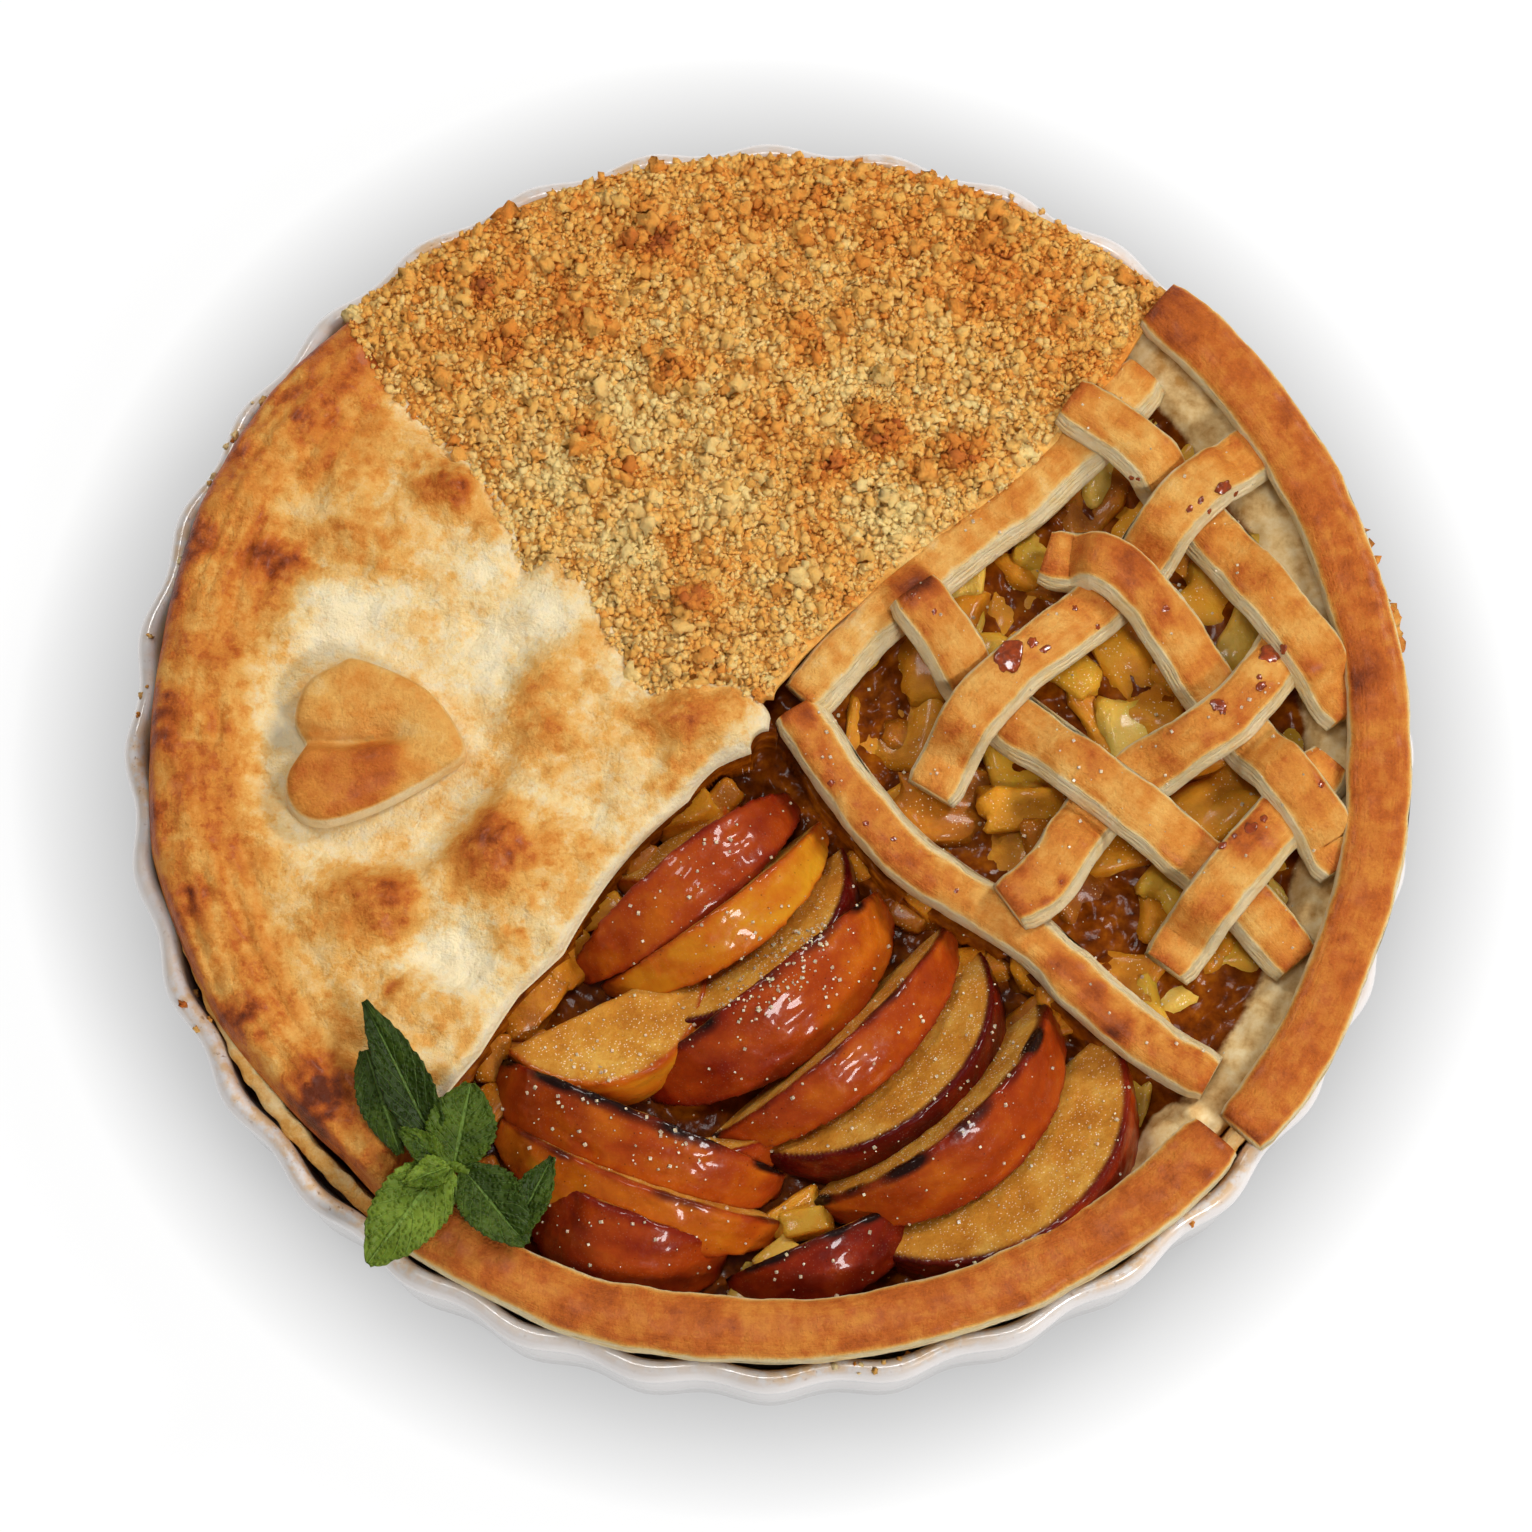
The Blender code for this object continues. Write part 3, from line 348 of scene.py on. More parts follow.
def sliceFinish():
    apple = Finish("bakedAppleSlice", Subsurface_Weight=0.12, Subsurface_Scale=0.0025, Specular_IOR_Level=0.08,
                   Coat_Roughness=0.075)
    skin = apple.painted("skin")
    blush = apple.painted("blush")
    char = apple.painted("char")
    streak = apple.grain(2.6, 4.0, 0.6)
    skinTone = apple.ramp(blush + 0.3 * (streak - 0.5), [
        (0.0, 208, 142, 28), (0.28, 190, 96, 16), (0.5, 162, 62, 12),
        (0.75, 126, 32, 8), (1.0, 80, 8, 5)])
    pulp = apple.grain(0.9, 4.0, 0.7)
    flesh = apple.ramp(0.5 + 0.4 * (pulp - 0.5) + 0.65 * (apple.grain(8.0, 2.0) - 0.5), [
        (0.25, 166, 92, 22), (0.5, 206, 138, 46), (0.75, 232, 184, 88)])
    colour = apple.mix(skin, flesh, skinTone)
    colour = apple.mix(char.over(0.18, 0.8) * 0.8, colour, linear(76, 20, 6))
    colour = apple.mix(char.over(0.7, 1.1) * 0.95, colour, linear(24, 9, 6))
    freckle = (1 - apple.cells(2.4).over(0.05, 0.1)) * skin
    colour = apple.mix(freckle * 0.6, colour, linear(60, 14, 6))
    glint = (1 - apple.cells(0.7).over(0.14, 0.3)) * apple.grain(5.0, 2.0).over(0.36, 0.52)
    colour = apple.mix(glint * (0.7 - 0.66 * skin), colour, linear(255, 238, 200))
    rough = 0.5 - 0.2 * skin + 0.12 * (streak - 0.5)
    height = (1 - skin) * 0.4 * pulp + skin * (0.5 * apple.grain(4.5, 3.0, 0.5) + 0.1 * apple.grain(0.9, 2.0))
    return apple.done(Base_Color=colour, Roughness=rough, Coat_Weight=0.16 + 0.2 * skin,
                      Normal=apple.relief(height, 0.55))


def mintFinish():
    mint = Finish("mintLeaf", Subsurface_Weight=0.1, Subsurface_Scale=0.001, Specular_IOR_Level=0.2)
    along = mint.painted("along")
    side = mint.painted("side")
    tone = mint.painted("tone")
    wander = mint.grain(3.0, 3.0)
    wave = (along * 7.0 - side * 2.6 + 0.5 * wander) * 6.283
    ribs = mint.node("ShaderNodeMath", {"operation": "SINE"}, {0: wave}).over(0.82, 1.0)
    midrib = 1 - side.over(0.03, 0.1)
    veins = mint.node("ShaderNodeMath", {"operation": "MAXIMUM"}, {0: ribs * 0.5, 1: midrib})
    net = mint.cells(1.0).over(0.1, 0.6)
    shade = mint.grain(1.8, 5.0, 0.65)
    colour = mint.ramp(tone + 0.35 * (shade - 0.5) + 0.1 * (net - 0.5), [
        (0.0, 20, 31, 4), (0.4, 46, 64, 9), (0.7, 80, 100, 18),
        (1.0, 126, 148, 46)])
    colour = mint.mix(veins * 0.28, colour, linear(140, 172, 84))
    height = 0.5 * (1 - veins) + 0.4 * (1 - net) + 0.2 * mint.grain(0.9, 3.0)
    return mint.done(Base_Color=colour, Roughness=0.46 + 0.2 * (shade - 0.5),
                     Normal=mint.relief(height, 0.7))


def plainFinish(name, shade, **fixed):
    plain = Finish(name, **fixed)
    mottle = plain.grain(1.2, 3.0)
    dark = tuple(c * 0.55 for c in linear(*shade)[:3]) + (1.0,)
    return plain.done(Base_Color=plain.mix(mottle.over(0.35, 0.65), dark, linear(*shade)),
                      Normal=plain.relief(mottle, 0.2))


lidPastry = pastryFinish("lidPastry", 0.4, 0.48)
heartPastry = pastryFinish("heartPastry", 0.15, 0.24)
stripPastry = pastryFinish("stripPastry", 0.15, 0.26, True)
casePastry = pastryFinish("casePastry", 0.2, 0.4)
butterCrumble = crumbleFinish()
whiteGlaze = porcelainFinish()
stewedApple = fruitFinish()
darkSyrup = syrupFinish()
bakedApple = sliceFinish()
mintLeaf = mintFinish()
sugar = plainFinish("sugarGrain", (238, 216, 182), Roughness=0.25, Subsurface_Weight=0.3,
                    Subsurface_Scale=0.001)
caramel = plainFinish("caramelDrop", (158, 62, 14), Roughness=0.12, Coat_Weight=1.0, Coat_Roughness=0.03)
print("finishes ready")


# Dish: a turned wall and lip, drawn in to flutes

dish = {
    "flutes": 32, "fluteDepth": 2.2, "stepsPerFlute": 14,
    # half section as radius, height and share of the flute depth, from the middle of the foot round
    "section": [(0, 0, 0), (60, 0, 0), (120, 0, 0.2), (133.6, 0, 0.6), (135.8, 0.5, 0.8), (137.5, 1.9, 1),
                (138.2, 3.6, 1), (138.7, 14, 1), (139.0, 26, 1), (138.9, 31.4, 1), (138.5, 33, 1), (138.9, 34.2, 1),
                (140.1, 35.0, 1), (140.9, 36.2, 1), (141, 37.6, 1), (140.9, 39.2, 1), (140.3, 40.6, 0.95),
                (139.3, 41.6, 0.9), (138.2, 41.95, 0.9), (137.1, 41.6, 0.85), (136.3, 40.4, 0.8), (135.8, 37, 0.8),
                (134.6, 28, 0.7), (131.4, 9.5, 0.5), (129.6, 6.4, 0.3), (127, 5.2, 0.2), (60, 5, 0), (0, 5, 0)],
    "butter": [(-134, -4, 9, .8), (-118, 64, 12, .9), (-128, 42, 8, .7), (-122, -62, 12, 1), (-104, -88, 14, 1.1),
               (-84, -107, 10, .9), (98, -96, 14, 1.1), (74, -114, 10, .8), (8, -134, 10, .8), (36, -130, 8, .6),
               (116, -74, 10, .9), (20, 135, 9, .9), (-30, 132, 9, .7), (96, 96, 14, .9), (122, 64, 10, .8),
               (-70, 116, 12, .8)],
}


def makeDish():
    bm = turned([row[:2] for row in dish["section"]], dish["flutes"] * dish["stepsPerFlute"])
    shares = {(round(r, 1), round(z, 1)): share for r, z, share in dish["section"]}
    butter = paintLayers(bm, "butter")
    for vert in bm.verts:
        r = vert.co.xy.length
        if r < 1:
            continue
        angle = math.atan2(vert.co.y, vert.co.x)
        share = shares[round(r, 1), round(vert.co.z, 1)]
        wave = 0.5 * (1 - math.cos(dish["flutes"] * angle)) * dish["fluteDepth"] * share
        vert.co.xy *= (r - wave) / r
        onLip = ease((vert.co.z - 36) / 3) * ease((140.6 - r) / 2)
        vert[butter] = onLip * min(1.0, 0.3 + 1.3 * marks(vert.co.x, vert.co.y, dish["butter"]))
    return addPiece("porcelainDish", bm, whiteGlaze, ["dish"])


# Pastry case: the wall of dough that lines the dish, with an uneven top edge

case = {
    "steps": 720, "shrink": 1.8, "shrinkMiddle": -79, "shrinkHalf": 34, "shrinkFade": 12,
    "section": [(0, 5.4), (125.9, 5.4), (129.4, 9.2), (131.3, 20), (133.0, 32), (134.1, 39.6), (134.3, 41.3),
                (133.6, 42.1), (132.4, 42.3), (131.2, 42.1), (130.5, 41.2), (130.3, 39.5), (129.2, 32), (127.6, 21),
                (125.7, 9.6), (0, 9.4)],
}


def pulledIn(angle):  # how far the dough has shrunk from the wall there
    away = abs((angle - case["shrinkMiddle"] + 180) % 360 - 180)
    fade = case["shrinkFade"]
    return case["shrink"] * ease((case["shrinkHalf"] + fade - away) / (2 * fade))


def makeCase():
    bm = turned(case["section"], case["steps"])
    bake = paintLayers(bm, "bake")
    for vert in bm.verts:
        r = vert.co.xy.length
        if r < 1:
            continue
        x, y, z = vert.co
        angle = math.degrees(math.atan2(y, x))
        high = ease((z - 34) / 7)
        ragged = 0.7 * fuzz((x, y, 0), 6) + 0.4 * fuzz((x, y, 0), 2.2)
        out = r - pulledIn(angle) * ease((z - 5) / 12) + high * (0.9 * fuzz((x, y, z), 4, 2) + 0.3 * ragged)
        if z < 12:
            out = r
        vert.co.xy *= out / r
        vert.co.z = min(42.4, z + high * (ragged - 0.4))
        vert[bake] = (0.3 + 0.35 * (1 - high) + 0.1 * high * ease((r - 131.5) / 2)
                      + 0.12 * fuzz((x, y, 0), 9, 4))
    return addPiece("pastryCaseWall", bm, casePastry, ["pastry_case"])


# Quarters of the top: a grid in polar form between two edges, whose rim runs down to a level underside

def quarterSheet(radii, lowEdge, highEdge, spokes, rim=None, crowd=0.5, ragged=0.0):
    bm = bmesh.new()
    bmesh.ops.create_grid(bm, x_segments=spokes, y_segments=len(radii) - 1, size=1.0)
    inset = paintLayers(bm, "inset")
    for vert in bm.verts:
        row = round((vert.co.y + 1) / 2 * (len(radii) - 1))
        share = (vert.co.x + 1) / 2
        share = (1 - crowd) * share + crowd * (0.5 - 0.5 * math.cos(math.pi * share))
        r = radii[row]
        low, high = readAlong(lowEdge, r), readAlong(highEdge, r)
        lowShift = ragged * fuzz((r, 0, 0), 3.1, 5) + 1.6 * ragged * fuzz((r, 0, 0), 9, 6)
        angle = math.radians(low + (high - low) * share + (1 - share) * math.degrees(lowShift / max(8, r)))
        far = radii[-1]
        if rim:
            far = readAlong(rim, math.degrees(angle) % 360)
            r += (far - radii[-1]) * ease((r - 96) / 40)
        span = math.radians(high - low) * r
        vert[inset] = max(0.0, min(share * span, (1 - share) * span, far - r))
        vert.co = (r * math.cos(angle), r * math.sin(angle), 0)
    return bm, inset


def closeBelow(bm, level, steps=(0.35, 0.7, 1.0)):
    edges = [e for e in bm.edges if e.is_boundary]
    for share in steps:
        edges, verts = drawnOut(bm, edges)
        for vert in verts:
            vert.co.z += (level - vert.co.z) * share
    bmesh.ops.holes_fill(bm, edges=edges)


def evenly(first, last, count):
    return [first + (last - first) * i / (count - 1) for i in range(count)]


# Lid: an uneven sheet with bulges over the apples, browned at its rim

lid = {
    "rings": 185, "spokes": 250, "inner": 4, "outer": 136.5, "under": 42.3, "full": 6.0, "round": 2.3,
    "roll": (127.0, 9.0, 2.6),  # radius, width and height of the swell along the rim
    "rim": [(132, 134.5), (144, 136.8), (157, 136.8), (170, 135), (181, 135), (190, 136), (198, 134.5),
            (207, 133.5), (215, 131), (225, 129), (232, 130.5)],
    # radius, width and depth
    "grooves": [(120.5, 1.3, 1.5), (115.5, 1.6, 0.9), (130, 1.0, 0.8), (126, 0.8, 0.6)],
    "seat": (-86, -1, 26, 46.0),  # the flat under the heart: middle, radius and level
    "waves": [(1.3, 10), (1.0, 5), (0.36, 2.2), (0.14, 1.1)],  # height and size
    "bulges": [(-68, 57.5, 6.5, 2.6), (-86, 46.5, 9, 1.8), (-59, -24, 12, 3.6), (-84, -37, 9, 2.6),
               (-47, 4, 8, 1.8), (-16, 5, 9, 2.4), (-48, 15, 6, 1.0), (-76, -58, 6, 1.4), (-101, 27.5, 8, 1.0),
               (-64, 24, 12, -2.0), (-70, -6, 8, -1.8), (-75, -46, 5, -1.6), (-92, 22, 9, -1.4),
               (-66, -47, 7, -1.4), (-110, -8, 6, -1.0), (-98, -26, 5, -0.9), (-56, 38, 6, -1.0),
               (-38, -16, 6, -1.0), (-90, 62, 7, 1.0), (-60, 46, 5, 0.9), (-34, 22, 5, -1.0)],
    "brown": [(-69.5, 56.5, 5.6, .5), (-106.5, 40, 5.2, .6), (-112, 42.5, 3.1, .3), (-86, 43.5, 5.6, .3),
              (-88.5, 37.5, 2.2, .4), (-123.5, 47.5, 3.7, .5), (-125.5, 43.5, 3.1, .4), (-117, 65.5, 1.9, .4),
              (-131.5, 9, 4.3, .5), (-132.5, 1.5, 3.7, .4), (-123.5, -34.5, 4.3, .7), (-112, -62.5, 4.9, .5),
              (-115, -60, 3.1, .4), (-96.5, -78.5, 6.8, .9), (-129, 32, 3.7, .3), (-82, -55, 3.5, .4),
              (-82.5, -60.5, 1.1, 1), (-82.5, -39, 7.4, .35), (-54.5, -25.5, 3.7, .45), (-71, -22.5, 1.5, .4),
              (-50.5, -35, 2.7, .45), (-53.5, -42, 1.5, .4), (-62, -24, 7.4, .2), (-45, -2.5, 4.9, .3),
              (-47.5, 14, 6.2, .2), (-24, 4, 6.8, .3), (-22.5, -10, 3.1, .35), (-5.5, 9, 4.9, .2),
              (-65.5, -65, 1.5, .5), (-71, -71, 4.9, .2), (-83, 72, 3.7, .3), (-87.5, 62, 2.5, .35),
              (-102.5, 75, 7.4, .3), (-112, -18.5, 3.1, .25), (-111.5, -5.5, 1.2, .4)],
    "pale": [(-92, 27.5, 9.9, .35), (-96, 31, 6.2, .2), (-62.5, 17, 7.4, .25), (-47.5, 28.5, 7.4, .35),
             (-67.5, -46, 8.6, .3), (-64, -52.5, 6.2, .3), (-52, -13.5, 4.9, .2), (-61.5, 40, 4.9, .2),
             (-36, -17, 4.3, .25), (-104, 2, 4.9, .3), (-71.5, -33.5, 3.7, .2), (-84.5, -66, 4.9, .2),
             (-35, 14.5, 4.9, .2)],
}


def lidHeight(x, y, inset):
    r, angle = polar(x, y)
    swell, width, height = lid["roll"]
    place = (x, y, 0)
    full = lid["full"] + height * math.exp(-((r - swell) / width) ** 2) + 1.8 * marks(x, y, lid["bulges"])
    for seed, (depth, size) in enumerate(lid["waves"]):
        full += depth * fuzz(place, size, seed)
    for grooveRadius, grooveWidth, depth in lid["grooves"]:
        at = grooveRadius + 2.4 * fuzz((angle * 1.2, grooveRadius, 0), 16)
        full -= depth * math.exp(-((r - at) / grooveWidth) ** 2) * ease(0.6 + fuzz((angle, 0, 0), 14, 3))
    cx, cy, seatRadius, seatLevel = lid["seat"]
    seat = seatLevel - lid["under"]
    full = seat + (full - seat) * ease((math.hypot(x - cx, y - cy) - seatRadius + 3) / 9)
    near = min(1.0, inset / lid["round"])
    return lid["under"] + (full - 1.6) * math.sqrt(1 - (1 - near) ** 2) + 1.6 * ease(inset / 9)


def makeLid():
    radii = evenly(lid["inner"], lid["outer"], lid["rings"])
    bm, inset = quarterSheet(radii, lidCrumbleEdge, lidOpenEdge, lid["spokes"], lid["rim"], ragged=0.7)
    bake = paintLayers(bm, "bake")
    for vert in bm.verts:
        x, y = vert.co.xy
        r, angle = polar(x, y)
        vert.co.z = lidHeight(x, y, vert[inset])
        rim = ease((r - 106 - 5 * fuzz((x, y, 0), 12, 7)) / 14)
        tone = 0.36 + 0.18 * rim + 0.1 * fuzz((x, y, 0), 13, 8) + 0.08 * fuzz((x, y, 0), 4, 9)
        tone += 0.05 * (vert.co.z - lid["under"] - lid["full"]) * (1 - 0.8 * rim)
        # long darker lines that follow the rim
        line = 1 - abs(fuzz((angle * 0.9 + 3 * fuzz((x, y, 0), 20), r * 2.2, 0), 7, 11)) * 3.2
        tone += 0.07 * rim * ease(line) + 0.2 * rim * fuzz((angle * 0.7, r * 0.9, 0), 8, 12)
        tone += marks(x, y, lid["brown"]) * (0.28 + 0.22 * rim + 0.6 * fuzz((x, y, 0), 2.5, 10))
        tone -= 0.8 * marks(x, y, lid["pale"])
        cut = 1 - ease((vert[inset] - 0.6) / 2.2)
        vert[bake] = max(-0.1, tone * (1 - 0.75 * cut * (1 - rim)) + 0.2 * cut * rim)
    closeBelow(bm, lid["under"])
    return addPiece("lidSheet", bm, lidPastry, ["pie_lid"])


# Heart: a cut-out lying on the lid, with one lobe folded over the other

heart = {
    "middle": (-86, -1), "seat": 46.3, "thick": 8.5, "steps": 160,
    "outline": [(-3, 19), (11, 12.7), (17.6, 5), (20.3, -2.3), (14.4, -7.2), (2.4, -14), (-10, -18), (-17, -15.4),
                (-18.7, -8.2), (-14.7, -0.7), (-17, 5.2), (-14.7, 13.4), (-8.4, 17.6)],
    # share of the outline and of the thickness, from the underside out, up and in over the top
    "rings": [(0.9, 0), (0.965, 0.03), (1.0, 0.14), (1.0, 0.34), (0.995, 0.55), (0.98, 0.74), (0.95, 0.88),
              (0.9, 0.95), (0.84, 0.985), (0.76, 1), (0.66, 1), (0.56, 1), (0.46, 1), (0.36, 1), (0.26, 1),
              (0.16, 1), (0.07, 1)],
    "crease": 4.6,
}


def makeHeart():
    turns = 3
    around = [(*p, 0) for p in heart["outline"]] * turns
    count = heart["steps"]
    outline = smoothRoute([*around, around[0]], turns * count + 1)[count:2 * count]
    bm = bmesh.new()
    bake = paintLayers(bm, "bake")
    first = bmesh.ops.create_circle(bm, segments=count, radius=1.0)["verts"]
    rings = [sorted(first, key=lambda v: math.atan2(v.co.y, v.co.x))]
    for _ in heart["rings"][1:]:
        edges = [e for e in bm.edges if not e.is_manifold and set(e.verts) <= set(rings[-1])]
        made = bmesh.ops.extrude_edge_only(bm, edges=edges)["geom"]
        fresh = [g for g in made if isinstance(g, bmesh.types.BMVert)]
        rings.append(sorted(fresh, key=lambda v: math.atan2(v.co.y, v.co.x)))
    cx, cy = heart["middle"]
    for ring, (share, lift) in zip(rings, heart["rings"]):
        for vert, place in zip(ring, outline):
            x, y = place.x * share, place.y * share
            line = y + 0.1 * x - 1.5 * math.sin(x / 7)  # above 0 the upper lobe, below it the folded one
            fold = ease((11 - x) / 10)
            step = math.exp(-((line - 1.2) / 2.2) ** 2) - 0.35 * math.exp(-((line + 3) / 4) ** 2)
            step *= heart["crease"] * fold
            height = lift * (heart["thick"] - 0.8 - step + 0.5 * share * share - 0.7 * share ** 6)
            height += 0.22 * fuzz((x, y, 0), 4, 3) * lift + 0.12 * fuzz((x, y, 0), 1.6, 4) * lift
            vert.co = (cx + x, cy + y, heart["seat"] + height)
            top = ease((lift - 0.72) / 0.2)
            dark = 0.2 * ease((1 - line) / 3) * fold + 0.1 * marks(x, y, [(2, -5, 7, 1), (-3, 9, 6, .6)])
            lowerSide = ease((-0.4 * x - y + 2) / 10)
            vert[bake] = (top * (0.43 + dark + 0.1 * fuzz((x, y, 0), 5, 5))
                          + (1 - top) * (0.3 - 0.22 * lowerSide))
    bm.faces.new(rings[0])
    cap = bm.faces.new(rings[-1])
    bmesh.ops.poke(bm, faces=[cap])
    for vert in bm.verts:
        if vert[bake] == 0:
            vert[bake] = 0.55
    return addPiece("heartCutout", bm, heartPastry, ["pastry_heart"])


# Crumble: a lumpy bed of crumbs, with loose ones of four sizes over it

crumble = {
    "rings": 150, "spokes": 210, "inner": 11, "outer": 135.8, "edge": (10, 136.4), "under": 42.3,
    "full": 3.6, "seed": 11,
    "reach": (11, 138), "angles": (44, 158), "highest": 56.0, "rough": 0.62,  # of the loose crumbs
    "clumps": [(-45, 96, 8, 2.4), (26, 70, 6, 3.0), (43, 65.5, 5, 2.8), (22, 101, 14, 1.4), (-21, 85, 6, 2.2),
               (-39, 70.5, 6, 2.4), (-15, 32, 6, 2.6), (13, 63, 5, 2.2), (60, 89, 10, 1.6), (-12, 109, 8, 1.6),
               (-25, 115, 6, 2.0), (-63, 104, 5, 2.0)],
    "brown": [(26, 70, 5, .6), (43, 65, 4, .6), (-39, 70, 5, .42), (-63, 104, 4, .45), (-25, 115, 5, .42),
              (-15, 32, 4, .55), (0, 120, 9, .1), (13, 63, 4, .42), (-42, 98, 7, .32), (-58, 92, 4, .4),
              (-21, 85, 5, .35), (10, 93, 6, .28), (33, 62, 3, .4), (20, 76, 3, .4), (-30, 62, 3, .3),
              (66, 95, 10, .16), (46, 108, 10, .16), (80, 84, 8, .1),
              (-20, 46, 5, .25), (12, 45, 6, .2), (-2, 70, 7, .2), (28, 118, 8, .12)],
    "pale": [(-30, 78, 10, .2), (-10, 60, 9, .15), (-48, 62, 8, .2), (28, 52, 8, .25), (20, 82, 6, .12),
             (-30, 45, 8, .2), (75, 98, 7, .25)],
    "sizes": {  # number, smallest and largest across, ball detail, how high they may pile
        "crumbDust": (9600, 0.6, 1.2, 1, 1.3),
        "crumbFine": (9400, 0.9, 1.7, 1, 1.3),
        "crumbMiddle": (4200, 1.3, 2.5, 1, 1.4),
        "crumbClump": (300, 2.4, 4.0, 2, 1.5),
    },
}


def inCrumble(x, y, margin=0.0):
    r, angle = polar(x, y)
    if not crumble["edge"][0] + margin < r < crumble["edge"][1] - margin:
        return False
    give = math.degrees(margin / r)
    # a few crumbs lie over the neighbours' edges
    spill = math.degrees((2.2 + 2.4 * max(0.0, fuzz((r, 0, 0), 5, 3))) / r)
    low, high = readAlong(crumbleLatticeEdge, r), readAlong(lidCrumbleEdge, r)
    return low - spill + give < angle < high + spill - give


def crumbleTone(x, y):
    r = math.hypot(x, y)
    tone = 0.13 + 0.12 * ease((r - 88) / 40)
    tone += 0.1 * fuzz((x, y, 0), 11, 12) + 0.18 * fuzz((x, y, 0), 4.5, 13)
    return tone + marks(x, y, crumble["brown"]) - marks(x, y, crumble["pale"])


def makeCrumble():
    radii = evenly(crumble["inner"], crumble["outer"], crumble["rings"])
    low = [(r, a - math.degrees(min(3.0, 0.2 * r) / r)) for r, a in crumbleLatticeEdge]
    high = [(r, a + math.degrees(0.8 / r)) for r, a in lidCrumbleEdge]
    bm, inset = quarterSheet(radii, low, high, crumble["spokes"])
    bake = paintLayers(bm, "bake")
    for vert in bm.verts:
        x, y = vert.co.xy
        place = (x, y, 0)
        near = 1 - abs(fuzz(place, 3.4, 1)) * 2.2
        full = crumble["full"] + 0.9 * near + 0.7 * fuzz(place, 5) + 0.8 * fuzz(place, 1.6, 2)
        full += marks(x, y, crumble["clumps"])
        vert.co.z = crumble["under"] + 2.6 + (full - 2.6) * ease(vert[inset] / 5)
        # The bed is painted 0.14 browner than the loose crumbs, as painted shade in the gaps between them.
        vert[bake] = crumbleTone(x, y) + 0.1 * fuzz(place, 2, 3) + 0.14
    closeBelow(bm, crumble["under"])
    return addPiece("crumbleBed", bm, butterCrumble, ["crumble_topping"])


def scatterBalls(name, spots, detail, finish, rough, seed):
    # one joined mesh of small uneven balls, each set as place, size, squash and how baked it is
    draw = random.Random(seed)
    bm = bmesh.new()
    bake = paintLayers(bm, "bake")
    bmesh.ops.create_icosphere(bm, subdivisions=detail, radius=0.5)
    corners = [v.co.copy() for v in bm.verts]
    sizes = (len(bm.verts), len(bm.edges), len(bm.faces))
    balls = 1
    while balls < len(spots):  # doubled until there are enough
        more = min(balls, len(spots) - balls)
        geom = [g for seq, size in zip((bm.verts, bm.edges, bm.faces), sizes) for g in list(seq)[:size * more]]
        bmesh.ops.duplicate(bm, geom=geom)
        balls += more
    verts = list(bm.verts)
    for number, (place, size, squash, shade) in enumerate(spots):
        shift = Vector((draw.uniform(0, 90), draw.uniform(0, 90), draw.uniform(0, 90)))
        turn = Matrix.Rotation(draw.uniform(0, 6.28), 3, "Z") @ Matrix.Rotation(draw.uniform(-0.7, 0.7), 3, "X")
        long = draw.uniform(0.8, 1.35)
        for vert, corner in zip(verts[number * sizes[0]:(number + 1) * sizes[0]], corners):
            lumpy = 1 + rough * (2 * noise.noise(corner * 3.4 + shift) + 1.2 * noise.noise(corner * 7.5 + shift))
            form = turn @ Vector((corner.x * long * lumpy, corner.y * lumpy, corner.z * squash * lumpy))
            vert.co = Vector(place) + form * size
            vert[bake] = shade + 0.12 * (corner.z + 0.1)
    return addPiece(name, bm, finish)


def makeCrumbs(*neighbours):
    draw = random.Random(crumble["seed"])
    ground = treeOf(*neighbours)
    near, far = crumble["reach"]
    for name, (count, small, large, detail, pile) in crumble["sizes"].items():
        spots = []
        while len(spots) < count:
            r = math.sqrt(draw.uniform(near ** 2, far ** 2))
            angle = math.radians(draw.uniform(*crumble["angles"]))
            x, y = r * math.cos(angle), r * math.sin(angle)
            size = small + (large - small) * draw.random() ** 1.7
            if not inCrumble(x, y, 0.2 * size):
                continue
            onMark = marks(x, y, crumble["brown"])
            if name == "crumbClump" and onMark < 0.2 and draw.random() < 0.75:
                continue
            hit = drop(ground, x, y)[0]
            if hit is None:
                continue
            z = hit.z + size * draw.uniform(0.0, 0.42) + pile * max(0.0, fuzz((x, y, 0), 4, 6))
            z = min(z, crumble["highest"])
            value = crumbleTone(x, y) + draw.uniform(-0.16, 0.14) + 0.1 * (z - hit.z) / pile
            spots.append(((x, y, z), size, draw.uniform(0.7, 1.0), value))
        scatterBalls(name, spots, detail, butterCrumble, crumble["rough"], len(spots))


# Pastry strips: borders, rim bands and the weave, each a flat bar swept along its route

